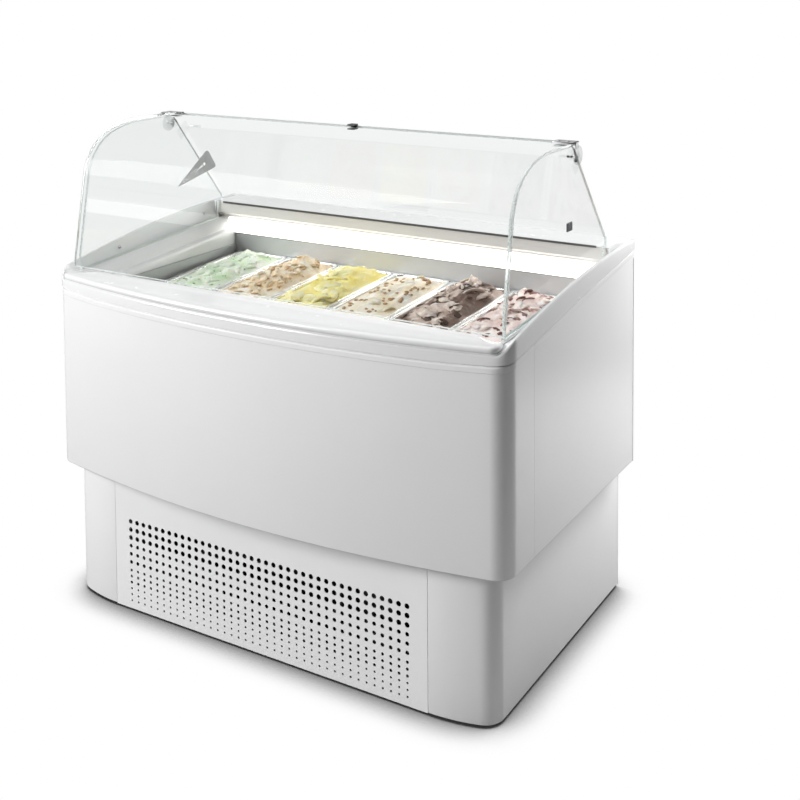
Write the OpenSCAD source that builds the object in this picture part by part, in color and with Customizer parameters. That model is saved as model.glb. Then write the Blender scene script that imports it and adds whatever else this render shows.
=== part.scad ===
// Ice cream dipping cabinet with a lift-up curved glass, six lift-out pans and a rear flap.
// Frame: X across the front, Y towards the operator's side, Z up. The origin is on the floor
// under the middle of the cabinet. Millimetres.

/* [Upper body] */
// Width of the upper body
body_w = 1224; // [1200:2:1250]
// Depth of the upper body at its middle
body_d = 754; // [744:1:764]
// Height of the upper body's underside
body_z = 322; // [312:1:332]
// Height of the joint between the front panel and the top frame
joint_z = 745; // [742:1:748]
// Radius of the bow of the front
bow_r = 2925; // [2600:25:3300]
// Radius of the upright front corners
corner_r = 50; // [46:1:54]

/* [Base] */
// Width of the base
base_w = 1143; // [1130:1:1150]
// Distance from the base's front panel to the middle of the cabinet
base_front = 313; // [308:1:318]
// Height of the base's lower edge
base_z = 6; // [4:1:8]
// Width of the flat front vent panel
vent_w = 856; // [820:2:870]

/* [Vent holes] */
// Holes in a row
vent_columns = 39; // [31:2:39]
// Distance between holes in a row
vent_pitch = 20; // [19:0.5:20]
// Distance between the upper rows
vent_row_pitch = 19.7; // [19:0.1:20]
// Distance between the lower rows
vent_low_pitch = 14.7; // [14:0.1:15]
// Height of the top row
vent_top_z = 217; // [212:1:222]

/* [Hood] */
// Thickness of the glass panes
glass_t = 6; // [5:0.5:6]
// Width of the curved front glass
hood_w = 1172; // [1170:1:1174]
// Distance between the outer faces of the end glasses
ends_w = 1160; // [1158:1:1162]
// Furthest the front glass opens, in degrees
lift_max = 60; // [50:5:60]

/* [Pans] */
// Number of pans side by side
pan_count = 6; // [6]
// Distance from one pan to the next
pan_pitch = 170; // [168:1:172]
// Width of a pan over its rim
pan_w = 165; // [162:1:166]
// Length of a pan over its rim
pan_l = 360; // [355:1:362]
// Depth of a pan
pan_h = 120; // [100:5:125]
// Tilt of the pans towards the front, in degrees
pan_tilt = 2.7; // [2:0.1:3]

/* [Hidden] */
$fn = 48;
eps = 0.1;

// Sheet and shell thicknesses, and the gap left between touching bodies
sheet = 1.2;
liner = 1.5;
shell = 4;
skirt_t = 2.3;
gap = 0.2;

// Plan of the upper body
half_w = body_w / 2;
front_y = -body_d / 2;
rear_y = body_d / 2;
seam_y = -189;
panel_inset = skirt_t + gap;

// Plan of the base: flat middle, a gentle bend, then a tight corner
base_half = base_w / 2;
bend_r = 370;
base_corner_r = 45;

// The well: opening in the top frame, and the tank under it
well_x = 535;
well_front = -248;
well_rear = 266;
well_r = 40;
tank_x = 530;
tank_front = -243;
tank_rear = 285;
tank_z = 430;
coil_gap = 13;
foam_top = joint_z - 3;

// The top frame: outer crest, inner foot of the glass, lower edge of the skirt
rim_in_x = 590;
rim_top_z = 787;
deck_z = 864;
deck_front = 267;
fascia_half = 586;
lamp_half = 552;
tube_half = 522;
steps = 20;

// Hood profile: straight rise, tight shoulder, wide shoulder, level top
hood_start = [-278, 796];
hood_lean = 80;
hood_rise = 222;
hood_r1 = 135;
hood_turn = 20;
hood_r2 = 300;
hood_end_y = 87;
seat_gap = 2.5;

// Hinge of the front glass
hinge_y = 80;
hinge_z = 1108;
pin_r = 4;
run_gap = 0.06;
disc_r = 22;
disc_x0 = 587.5;
disc_t = 6;

// Slanted rear edge of the end glasses, and the flap that closes it
slant_top = [84, 1127];
slant_low = [279, 880];
slant_len = norm(slant_low - slant_top);
slant_dir = (slant_low - slant_top) / slant_len;
slant_out = [-slant_dir[1], slant_dir[0]];
flap_t = 4;
flap_start = 54;
flap_half = 569.5;
flap_knuckle_r = 5;

// Pans
pan_wall = 1;
pan_body_w = pan_w - 17;
pan_body_l = pan_l - 20;
pan_rear_y = 279;
pan_rear_z = 729;
mound_r = 120;
mound_h = 20;

// Machine compartment
tray_z = 14;
tray_inset = 5;
fan_y = -165;
fan_z = 150;
fan_r = 105;
shaft_r = 4;
comp_x = 260;
comp_y = -20;
comp_r = 82;

// Operator's panel and its controls
ctrl_z0 = 190;
ctrl_z1 = 290;
ctrl_x = 390;
ctrl_half = 110;
ctrl_y = rear_y - 22;
ctrl_t = 2.3;
ctrl_edge = 10;
knob_x = 330;
switch_xs = [400, 450];
switch_w = 18.6;
switch_h = 12.6;

// Feet
foot_x = 500;
foot_y = [-230, 330];
foot_r = 20;
stud_r = 5;
foot_travel = 20;

/* ---------- functions ---------- */

// Height of the outer crest of the top frame at depth y
function crest_z(y) = max(rim_top_z, 865 - pow(387 - y, 2) / 6490);
// Height of the skirt's lower edge at depth y
function skirt_z(y) = max(joint_z, 840 - 0.11 * (377 - y) - pow(377 - y, 2) / 34480);
// Height of the foot of the end glass at depth y
function foot_z(y) = max(785, 785 + 0.0636 * (y + 237));
// Evenly spaced depths from y0 to y1
function depths(y0, y1) = [for (i = [0:steps]) y0 + (y1 - y0) * i / steps];
// Points on a circle about c, from angle a0 to a1
function arc(c, r, a0, a1, n) = [for (i = [0:n]) c + r * [cos(a0 + (a1 - a0) * i / n),
                                                           sin(a0 + (a1 - a0) * i / n)]];
function mirrored(p) = [for (i = [len(p) - 1:-1:0]) [-p[i][0], p[i][1]]];

// Plan outline of the bowed front, inset by d, from the middle to the right-hand side
corner_c = [half_w - corner_r,
            front_y + bow_r - sqrt(pow(bow_r - corner_r, 2) - pow(half_w - corner_r, 2))];
bow_c = [0, front_y + bow_r];
corner_a = atan2(corner_c[1] - bow_c[1], corner_c[0]);
function front_half(d) = concat(arc(bow_c, bow_r - d, -90, corner_a, 12),
                                arc(corner_c, corner_r - d, corner_a + 4, 0, 10));
function front_line(d) = concat(mirrored(front_half(d)), front_half(d));
function body_plan(d, y1) = concat(front_line(d), [[half_w - d, y1], [-half_w + d, y1]]);

// Plan outline of the base's right front corner, inset by d, from the vent panel to the side
bend_c = [vent_w / 2, -base_front + bend_r];
base_corner_c = [base_half - base_corner_r,
                 bend_c[1] - sqrt(pow(bend_r - base_corner_r, 2)
                                  - pow(base_half - base_corner_r - vent_w / 2, 2))];
base_corner_a = atan2(base_corner_c[1] - bend_c[1], base_corner_c[0] - bend_c[0]);
function base_corner(d) = concat(arc(bend_c, bend_r - d, -90, base_corner_a, 6),
                                 arc(base_corner_c, base_corner_r - d, base_corner_a + 7, 0, 8));

function base_plan(d, y1) = concat(mirrored(base_corner(d)), base_corner(d),
                                   [[base_half - d, y1], [-base_half + d, y1]]);

// Side profile of the hood, inset by d, as [y, z] points from the front edge to the rear edge
function heading(a) = [cos(a), sin(a)];
function inward(a) = [sin(a), -cos(a)];
hood_p1 = hood_start + hood_rise * heading(hood_lean);
hood_c1 = hood_p1 + hood_r1 * inward(hood_lean);
hood_p2 = hood_c1 - hood_r1 * inward(hood_turn);
hood_c2 = hood_p2 + hood_r2 * inward(hood_turn);
hood_top = hood_c2[1] + hood_r2;
function hood_arc(c, r, a0, a1, n) = [for (i = [0:n]) c - r * inward(a0 + (a1 - a0) * i / n)];
function hood_line(d, y1) = concat(
    [hood_start + [d / sin(hood_lean), 0]],
    hood_arc(hood_c1, hood_r1 - d, hood_lean, hood_turn, 12),
    hood_arc(hood_c2, hood_r2 - d, hood_turn * 0.75, 0, 3),
    [[y1, hood_top - d]]);
function reversed(p) = [for (i = [len(p) - 1:-1:0]) p[i]];

/* ---------- shared shapes ---------- */

// Extrude a [y, z] outline across X, centred, to the given width
module across(width, outline) {
    translate([-width / 2, 0, 0]) rotate([90, 0, 90])
        linear_extrude(width) polygon(outline);
}

// A rounded rectangle with true corner arcs
module rounded(w, l, r) {
    square([w - 2 * r, l], center = true);
    square([w, l - 2 * r], center = true);
    for (sx = [-1, 1]) for (sy = [-1, 1])
        translate([sx * (w / 2 - r), sy * (l / 2 - r)]) circle(r);
}

// Box from its lowest and highest corners
module block(a, b) { translate(a) cube(b - a); }

// Plan of the well's opening, grown by d
module well_plan(d) {
    square_front = well_front - d + well_r;
    translate([-well_x - d, square_front]) square([2 * (well_x + d), well_rear + 150 - square_front]);
    translate([-well_x - d + well_r, well_front - d]) square([2 * (well_x + d - well_r), well_r + 1]);
    for (s = [-1, 1]) translate([s * (well_x + d - well_r), square_front]) circle(well_r);
}

/* ---------- base ---------- */

module chassis() {
    color("silver") difference() {
        union() {
            // tray floor with upturned long edges
            translate([0, 0, tray_z]) linear_extrude(2) polygon(base_plan(tray_inset, rear_y - 6));
            for (y = [-base_front + 6, rear_y - 46])
                block([-vent_w / 2, y, tray_z + 2], [vent_w / 2, y + 40, tray_z + 22]);
            // four posts and two longitudinal top beams
            for (sx = [-1, 1]) for (y = [-230, 318])
                block([sx * 545 - 15, y, tray_z + 2], [sx * 545 + 15, y + 30, body_z - 30]);
            for (sx = [-1, 1])
                block([sx * 545 - 15, -230, body_z - 30], [sx * 545 + 15, 348, body_z]);
            // threaded foot bosses
            for (sx = [-1, 1]) for (y = foot_y)
                translate([sx * foot_x, y, tray_z]) cylinder(r = 14, h = 26);
        }
        for (sx = [-1, 1]) for (y = foot_y)
            translate([sx * foot_x, y, 0]) cylinder(r = stud_r + run_gap, h = 80);
    }
}

module base_side(s) {
    outline = concat(base_corner(0), [[base_half, rear_y - 2], [base_half - sheet, rear_y - 2]],
                     reversed(base_corner(sheet)));
    color("white") mirror([s < 0 ? 1 : 0, 0, 0]) translate([0, 0, base_z])
        linear_extrude(body_z - base_z - gap) polygon(outline);
}
module base_side_left() { base_side(-1); }
module base_side_right() { base_side(1); }

// Radius of the holes in row i, counted from the top: four groups of three rows
function vent_hole_r(i) = [5.8, 4.6, 3.5, 2.6][floor(i / 3)];
function vent_row_z(i) = vent_top_z - vent_row_pitch * min(i, 6) - vent_low_pitch * max(i - 6, 0);

module vent_panel() {
    flat = vent_w - 2 * gap;
    color("white") translate([0, -base_front + sheet, 0]) rotate([90, 0, 0])
        linear_extrude(sheet) difference() {
            translate([-flat / 2, base_z]) square([flat, body_z - base_z - gap]);
            for (i = [0:11]) for (k = [0:vent_columns - 1])
                translate([(k - (vent_columns - 1) / 2) * vent_pitch, vent_row_z(i)])
                    circle(r = vent_hole_r(i), $fn = 16);
        }
}

module base_rear_panel() {
    color("gainsboro") translate([0, rear_y, 0]) rotate([90, 0, 0]) linear_extrude(sheet) difference() {
        translate([-base_half + gap, base_z]) square([base_w - 2 * gap, body_z - base_z - gap]);
        translate([ctrl_x - ctrl_half + 8, ctrl_z0 + 8])
            square([2 * ctrl_half - 16, ctrl_z1 - ctrl_z0 - 16]);
        // air slots, and the cable's grommet hole
        for (i = [0:8]) translate([-60, 70 + i * 24]) square([260, 8], center = true);
        translate([-450, 90]) circle(r = 11);
    }
}

/* ---------- upper body ---------- */

module body_front_panel() {
    trimmed = [for (p = front_line(panel_inset)) p];
    inner = reversed(front_line(panel_inset + sheet));
    x0 = half_w - panel_inset;
    color("white") translate([0, 0, body_z]) linear_extrude(780 - body_z)
        polygon(concat([[-x0, seam_y]], trimmed, [[x0, seam_y], [x0 - sheet, seam_y]], inner,
                       [[-x0 + sheet, seam_y]]));
}

module body_side(s) {
    ys = depths(seam_y + 1, rear_y - sheet - gap);
    outline = concat([[ys[steps], body_z], [ys[0], body_z]],
                     [for (y = ys) [y, min(skirt_z(y) + 14, crest_z(y) - 8)]]);
    x = half_w - panel_inset - sheet / 2;
    color("white") translate([s * x, 0, 0]) across(sheet, outline);
}
module body_side_left() { body_side(-1); }
module body_side_right() { body_side(1); }

module body_rear_panel() {
    // full width up to the side rails, then narrower between them
    color("gainsboro") {
        block([-half_w + panel_inset, rear_y - sheet, body_z], [half_w - panel_inset, rear_y, 819]);
        block([-rim_in_x + gap, rear_y - sheet, 818], [rim_in_x - gap, rear_y, 838]);
    }
}

module body_floor() {
    color("gainsboro") translate([0, 0, body_z]) linear_extrude(sheet)
        polygon(body_plan(panel_inset + sheet + gap, rear_y - sheet - gap));
}

module insulation() {
    color("khaki") difference() {
        union() {
            translate([0, 0, body_z + sheet]) linear_extrude(foam_top - body_z - sheet)
                polygon(body_plan(panel_inset + sheet + gap, rear_y - sheet - gap));
            block([-tank_x, tank_rear + 25, foam_top - 1], [tank_x, rear_y - sheet - gap, 830]);
        }
        block([-tank_x - coil_gap, tank_front - coil_gap, tank_z - coil_gap],
              [tank_x + coil_gap, tank_rear + coil_gap, foam_top + eps]);
    }
}

module inner_tank() {
    color("silver") difference() {
        union() {
            block([-tank_x - liner, tank_front - liner, tank_z - liner],
                  [tank_x + liner, tank_rear + liner, foam_top]);
            // flange that rests on the foam, and the tall rear wall under the lamp
            block([-tank_x - 20, tank_front - 20, foam_top], [tank_x + 20, tank_rear + liner, foam_top + liner]);
            block([-tank_x, tank_rear, foam_top], [tank_x, tank_rear + liner, 774]);
        }
        block([-tank_x, tank_front, tank_z], [tank_x, tank_rear, 800]);
    }
}

// One loop of tube round the tank, at the coil's own height
module coil_loop() {
    tube_r = 4;
    bend = 10;
    x = tank_x + liner + 6;
    y0 = tank_front - liner - 6;
    y1 = tank_rear + liner + 6;
    for (y = [y0, y1])
        translate([-x + bend, y, 0]) rotate([0, 90, 0]) cylinder(r = tube_r, h = 2 * (x - bend));
    for (s = [-1, 1])
        translate([s * x, y0 + bend, 0]) rotate([-90, 0, 0]) cylinder(r = tube_r, h = y1 - y0 - 2 * bend);
    for (c = [[1, y0, -90], [1, y1, 0], [-1, y1, 90], [-1, y0, 180]])
        translate([c[0] * (x - bend), c[1] == y0 ? y0 + bend : y1 - bend, 0]) rotate([0, 0, c[2]])
            rotate_extrude(angle = 90) translate([bend, 0]) circle(r = tube_r);
}

module evaporator_coil() {
    loop_zs = [470, 520, 570, 620, 670];
    color("peru") {
        for (z = loop_zs) translate([0, 0, z]) coil_loop();
        translate([200, tank_rear + liner + 6, loop_zs[0]]) cylinder(r = 4, h = loop_zs[4] - loop_zs[0]);
    }
}

/* ---------- top frame, deck and lamp ---------- */

// The frame's outer form, made smaller by d all round to give its hollow
module frame_form(d) {
    ys = depths(front_y - 1, rear_y);
    low_z = joint_z - (d > 0 ? 20 : 0);
    glass_y = well_front - 16 - d;
    difference() {
        intersection() {
            translate([0, 0, joint_z - 25]) linear_extrude(220) polygon(body_plan(d * skirt_t / shell, rear_y));
            across(2 * body_w, concat([for (y = ys) [y, crest_z(y) - d]], [[rear_y, low_z], [front_y - 1, low_z]]));
        }
        across(2 * (rim_in_x + d), concat([[front_y - 2, rim_top_z - d], [glass_y, rim_top_z - d]],
                                           [for (y = depths(glass_y, rear_y + 1)) [y, foot_z(y) - d]],
                                           [[rear_y + 1, 900], [front_y - 2, 900]]));
    }
}

// What lies below the skirt's lower edge, in the skirt's own thickness
module below_skirt() {
    ys = depths(front_y - 1, rear_y + 1);
    intersection() {
        across(2 * body_w, concat([for (y = ys) [y, skirt_z(y)]], [[rear_y + 1, 600], [front_y - 1, 600]]));
        translate([0, 0, 600]) linear_extrude(400) difference() {
            polygon(body_plan(-1, rear_y + 1));
            polygon(body_plan(skirt_t + gap / 2, rear_y + 2));
        }
    }
}

module top_frame() {
    color("white") difference() {
        frame_form(0);
        difference() {
            frame_form(shell);
            translate([0, 0, 600]) linear_extrude(400) well_plan(3);
        }
        translate([0, 0, 600]) linear_extrude(400) well_plan(0);
        below_skirt();
        // room for the deck between the side rails
        block([-rim_in_x, deck_front, 700], [rim_in_x, rear_y + 1, 900]);
    }
}

module rear_deck() {
    x = rim_in_x - gap;
    color("white") {
        block([-x, deck_front + gap, deck_z - 3], [x, rear_y, deck_z]);
        block([-x, rear_y - 3, 839], [x, rear_y, deck_z - 3]);
        for (s = [-1, 1]) block([s * (x - 1.5) - 1.5, deck_front + gap, 836], [s * (x - 1.5) + 1.5, rear_y - 3, deck_z - 3]);
    }
}

// One folded sheet: fascia, recess for the lamp, and a lower lip
module deck_fascia() {
    t = 1.5;
    y0 = deck_front + 1;
    recess = 306;
    lip = tank_rear - 2;
    outline = [[y0, deck_z - 3], [y0, 833], [283, 825], [283, 821], [recess - t, 821], [recess - t, 776 + t],
               [lip, 776 + t], [lip, 776], [recess, 776], [recess, 821 + t], [283 + t, 821 + t],
               [283 + t, 826], [y0 + t, 834], [y0 + t, deck_z - 3]];
    color("linen") across(2 * fascia_half, outline);
}

module deck_seal() {
    color("black") block([-558, deck_front - 4, deck_z - 3], [558, deck_front, deck_z + 1.5]);
}

module lamp_tube() {
    color("ivory") translate([-tube_half, 294, 797]) rotate([0, 90, 0]) {
        cylinder(r = 8, h = 2 * tube_half);
        translate([0, 0, -5]) cylinder(r = 8.4, h = 18);
        translate([0, 0, 2 * tube_half - 13]) cylinder(r = 8.4, h = 18);
    }
}

module lamp_holders() {
    color("white") for (s = [-1, 1]) difference() {
        block([s * (tube_half + 14) - 10, 283, 783], [s * (tube_half + 14) + 10, 304, 812]);
        translate([s * (tube_half + 5) - (s < 0 ? 5.2 : 14.2), 294, 797]) rotate([0, 90, 0])
            cylinder(r = 8.6, h = 19.4);
    }
}

// A bowed diffuser in front of the tube
module lamp_cover() {
    n = 8;
    outer = [for (i = [0:n]) [281 - 4 * sin(180 * i / n), 778 + 41 * i / n]];
    inner = [for (i = [n:-1:0]) [282.6 - 4 * sin(180 * i / n), 778 + 41 * i / n]];
    color("white") across(2 * lamp_half, concat(outer, inner));
}

/* ---------- inside of the well ---------- */

// Place children in a pan's own frame: origin at the middle of its rim's rear edge
module on_pans(x) {
    translate([x, pan_rear_y, pan_rear_z]) rotate([pan_tilt, 0, 0]) children();
}
function pan_x(i) = (i - (pan_count + 1) / 2) * pan_pitch;

module pan_support() {
    color("silver") on_pans(0) {
        // cross bars between the pans, hung on a front and a rear rail
        for (i = [0:pan_count]) block([(i - pan_count / 2) * pan_pitch - 6, -pan_l + 2, -9],
                                      [(i - pan_count / 2) * pan_pitch + 6, -2, -1.4]);
        block([-tank_x + 1, -pan_l - 16, -18], [tank_x - 1, -pan_l + 2, -1.4]);
        block([-tank_x + 1, -2, -18], [tank_x - 1, 3, -1.4]);
    }
}

module front_infill() {
    y1 = pan_rear_y - pan_l * cos(pan_tilt) - 20;
    color("silver") {
        block([-tank_x + 1, tank_front + 1, 700], [tank_x - 1, y1, 701.5]);
        block([-tank_x + 1, tank_front + 1, 701.5], [tank_x - 1, tank_front + 2.5, 738]);
    }
}

module pan(i) {
    color("lightgray") on_pans(pan_x(i)) translate([0, -pan_l / 2, 0]) difference() {
        union() {
            translate([0, 0, -sheet]) linear_extrude(sheet) rounded(pan_w, pan_l, 24);
            translate([0, 0, -pan_h]) linear_extrude(pan_h - sheet / 2)
                rounded(pan_body_w, pan_body_l, 20);
        }
        translate([0, 0, -pan_h + pan_wall]) linear_extrude(pan_h + 1)
            rounded(pan_body_w - 2 * pan_wall, pan_body_l - 2 * pan_wall, 19);
    }
}

module ice_cream(i, shade) {
    w = pan_body_w - 2 * pan_wall;
    l = pan_body_l - 2 * pan_wall;
    color(shade) on_pans(pan_x(i)) translate([0, -pan_l / 2, 0]) intersection() {
        translate([0, 0, -pan_h + pan_wall]) linear_extrude(pan_h + 60) rounded(w, l, 19);
        translate([0, l / 2 + 1, mound_h - mound_r]) rotate([90, 0, 0]) union() {
            cylinder(r = mound_r, h = l + 2, $fn = 96);
            translate([-mound_r, -300, 0]) cube([2 * mound_r, 300, l + 2]);
        }
    }
}

module pan_1() { pan(1); }
module pan_2() { pan(2); }
module pan_3() { pan(3); }
module pan_4() { pan(4); }
module pan_5() { pan(5); }
module pan_6() { pan(6); }
module ice_cream_1() { ice_cream(1, "palegreen"); }
module ice_cream_2() { ice_cream(2, "peachpuff"); }
module ice_cream_3() { ice_cream(3, "khaki"); }
module ice_cream_4() { ice_cream(4, "wheat"); }
module ice_cream_5() { ice_cream(5, "rosybrown"); }
module ice_cream_6() { ice_cream(6, "mistyrose"); }

/* ---------- hood ---------- */

module end_glass(s) {
    inset = glass_t + seat_gap;
    foot_y = hood_start[0] + 14;
    edge = [for (p = hood_line(inset, slant_top[0] - 8)) if (p[1] > foot_z(foot_y) + 14) p];
    outline = concat([[foot_y, foot_z(foot_y) + 1]], edge,
                     [slant_top + [-2, -1], slant_top + 3 * slant_dir, slant_low,
                      [slant_low[0], deck_z + gap], [deck_front - 5, deck_z + gap],
                      [deck_front - 5, foot_z(deck_front) + 1]]);
    x = ends_w / 2 - glass_t / 2;
    color([0.8, 0.9, 0.87, 0.35]) translate([s * x, 0, 0]) difference() {
        across(glass_t, outline);
        translate([-10, hinge_y, hinge_z]) rotate([0, 90, 0]) cylinder(r = 5, h = 20);
    }
}
module end_glass_left() { end_glass(-1); }
module end_glass_right() { end_glass(1); }

// A strip each side that holds the foot of the end glass
module glass_rails() {
    ys = depths(-262, deck_front - 6);
    outline = concat([for (y = ys) [y, foot_z(y) + 6.5]], [for (y = reversed(ys)) [y, foot_z(y) + 0.5]]);
    x = ends_w / 2 - glass_t - gap - 1;
    color("silver") for (s = [-1, 1]) translate([s * x, 0, 0]) across(2, outline);
}

module rail_screws() {
    color("silver") for (s = [-1, 1]) for (y = [-111, 224]) difference() {
        translate([s * 584.6, y, foot_z(y) + 7]) rotate([0, 90, 0]) cylinder(r = 4.5, h = 6, center = true);
        translate([s * 584.6 - 1 , y - 4, foot_z(y) + 6.4]) cube([2, 8, 1.2]);
    }
}

// Boss and pin on each end glass, the fixed half of the front glass's hinge
module hinge_mounts() {
    color("gray") for (s = [-1, 1]) mirror([s < 0 ? 1 : 0, 0, 0]) translate([0, hinge_y, hinge_z])
        rotate([0, 90, 0]) {
            translate([0, 0, ends_w / 2]) cylinder(r = 16, h = disc_x0 - ends_w / 2 - 0.5);
            translate([0, 0, ends_w / 2 - glass_t - 4]) cylinder(r = 4.9, h = glass_t + 5);
            translate([0, 0, ends_w / 2 - glass_t - 5]) cylinder(r = 12, h = 5);
            translate([0, 0, ends_w / 2]) cylinder(r = pin_r, h = disc_x0 + disc_t - ends_w / 2 - 2);
        }
}

module front_glass() {
    color([0.8, 0.9, 0.87, 0.35])
        across(hood_w, concat(hood_line(0, hood_end_y), reversed(hood_line(glass_t, hood_end_y))));
}

// Disc, neck and top plate on each end, the moving half of the hinge
module glass_hinges() {
    color("gainsboro") for (s = [-1, 1]) mirror([s < 0 ? 1 : 0, 0, 0]) {
        difference() {
            translate([disc_x0, hinge_y, hinge_z]) rotate([0, 90, 0]) cylinder(r = disc_r, h = disc_t);
            translate([disc_x0 - 1, hinge_y, hinge_z]) rotate([0, 90, 0])
                cylinder(r = pin_r + run_gap, h = disc_t);
        }
        block([disc_x0, hinge_y - 18, hinge_z + 16], [disc_x0 + 4, hinge_y + 6, hood_top + 3]);
        block([540, hinge_y - 30, hood_top], [disc_x0 + 4, hinge_y + 6, hood_top + 3]);
    }
}

// Small pull tab on the middle of the glass's rear edge
module glass_stop() {
    color("dimgray") difference() {
        block([-9, hood_end_y - 16, hood_top - glass_t - 3], [9, hood_end_y + 4, hood_top + 4]);
        block([-10, hood_end_y - 17, hood_top - glass_t], [10, hood_end_y, hood_top]);
    }
}

// Place children in the flap's frame: [x, along the slant from its top edge, out from it]
module on_slant() {
    a = atan2(slant_dir[1], slant_dir[0]);
    translate([0, slant_top[0], slant_top[1]]) rotate([a, 0, 0]) children();
}

module rear_flap() {
    lip = slant_len - 8;
    color([0.85, 0.92, 0.9, 0.3]) on_slant() {
        block([-flap_half, flap_start, 9], [flap_half, lip, 9 + flap_t]);
        // folded grip along the lower edge, and the knuckles that turn on the hinge pins
        block([-90, lip - flap_t, 9 + flap_t], [90, lip, 9 + flap_t + 16]);
        for (s = [-1, 1]) difference() {
            union() {
                translate([s * 540 - 16, flap_start, 9 + flap_t + 3]) rotate([0, 90, 0])
                    cylinder(r = flap_knuckle_r, h = 32);
                block([s * 540 - 16, flap_start, 9 + flap_t - eps],
                      [s * 540 + 16, flap_start + flap_knuckle_r, 9 + flap_t + 3]);
            }
            translate([s * 540 - 17, flap_start, 9 + flap_t + 3]) rotate([0, 90, 0])
                cylinder(r = 2.5 + run_gap, h = 34);
        }
    }
}

// Brackets bonded inside the end glasses, each with a pin for the flap
module flap_hinges() {
    color("silver") on_slant() for (s = [-1, 1]) mirror([s < 0 ? 1 : 0, 0, 0]) {
        block([570.4, flap_start - 14, -22], [573.8, flap_start + 14, 22]);
        translate([522, flap_start, 9 + flap_t + 3]) rotate([0, 90, 0]) cylinder(r = 2.5, h = 49);
    }
}

// Polished stop plate on the left glass and a square pad on the right one
module flap_pads() {
    color("dimgray") {
        translate([-573.6, 0, 0]) rotate([90, 0, 90])
            linear_extrude(2.5) polygon([[90, 932], [216, 1018], [254, 965]]);
        block([570, 62, 938], [573.8, 90, 958]);
    }
}

/* ---------- machine compartment ---------- */

module compressor() {
    color("dimgray") translate([comp_x, comp_y, tray_z + 2]) {
        translate([0, 0, 30]) cylinder(r = comp_r, h = 110);
        translate([0, 0, 140]) cylinder(r1 = comp_r, r2 = comp_r - 26, h = 30);
        translate([0, 0, 14]) cylinder(r1 = comp_r - 22, r2 = comp_r, h = 16);
        block([-comp_r - 26, -62, 10], [comp_r + 26, 62, 14]);
        for (sx = [-1, 1]) for (sy = [-1, 1])
            translate([sx * (comp_r + 12), sy * 48, 0]) cylinder(r = 9, h = 10);
        // terminal cover
        block([-32, -comp_r - 20, 60], [32, -comp_r + 30, 120]);
    }
}

// Finned block with end plates, behind the vent panel
module condenser() {
    y0 = -275;
    color("darkgray") {
        for (i = [0:18]) block([-190 + i * 21, y0, 40], [-189 + i * 21, y0 + 60, 270]);
        for (x = [-196, 194]) block([x, y0 - 4, tray_z + 22], [x + 2, y0 + 64, 280]);
        for (z = [65:60:245]) for (y = [y0 + 15, y0 + 45])
            translate([-200, y, z]) rotate([0, 90, 0]) cylinder(r = 4.8, h = 400);
        // shroud with the fan's opening
        difference() {
            block([-194, y0 + 64, 40], [194, y0 + 66, 275]);
            translate([0, y0 + 70, fan_z]) rotate([90, 0, 0]) cylinder(r = fan_r + 8, h = 20);
        }
    }
}

module fan_motor() {
    color("dimgray") translate([0, fan_y, fan_z]) rotate([-90, 0, 0]) {
        translate([0, 0, 12]) cylinder(r = 38, h = 55);
        translate([0, 0, -20]) cylinder(r = shaft_r, h = 34);
        for (s = [-1, 1]) translate([s * 70 - 32, -6, 40]) cube([64, 12, 4]);
    }
    color("dimgray") for (s = [-1, 1])
        block([s * 101 - 3, fan_y + 36, tray_z + 2], [s * 101 + 3, fan_y + 48, fan_z + 6]);
}

// Four pitched blades on a hub
module fan_blade() {
    color("black") translate([0, fan_y, fan_z]) rotate([-90, 0, 0]) difference() {
        union() {
            translate([0, 0, -14]) cylinder(r = 24, h = 22);
            for (a = [0:72:288]) rotate([0, 0, a]) translate([60, 0, -3]) rotate([28, 0, 0])
                cube([84, 52, 2], center = true);
        }
        translate([0, 0, -30]) cylinder(r = shaft_r + run_gap, h = 60);
    }
}

// A tube along each leg of a path of points, with a slightly larger ball at each turn
module tube_path(points, r) {
    turn_r = 1.2 * r;
    for (i = [0:len(points) - 2]) {
        d = points[i + 1] - points[i];
        translate(points[i]) rotate([0, acos(d[2] / norm(d)), atan2(d[1], d[0])])
            cylinder(r = r, h = norm(d));
    }
    for (i = [1:len(points) - 2]) translate(points[i]) sphere(r = turn_r);
}

module pipework() {
    top = tray_z + 140;
    color("peru") {
        tube_path([[comp_x - 95, comp_y, top], [comp_x - 95, -180, top], [205, -180, top],
                   [205, -230, 270], [205, -230, 240]], 4);
        tube_path([[205, -260, 60], [230, -200, 60], [430, -120, 60], [430, 120, 60], [430, 120, 180]], 3);
        translate([430, 120, 180]) cylinder(r = 12, h = 110);
        tube_path([[430, 120, 285], [430, 250, 300], [200, 250, 300], [200, 250, body_z - gap]], 3);
    }
}

module electrical_box() {
    color("gray") difference() {
        block([-420, 120, tray_z + 2], [-260, 240, 150]);
        block([-416, 124, tray_z + 6], [-264, 236, 146]);
    }
}

/* ---------- operator's controls ---------- */

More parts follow.
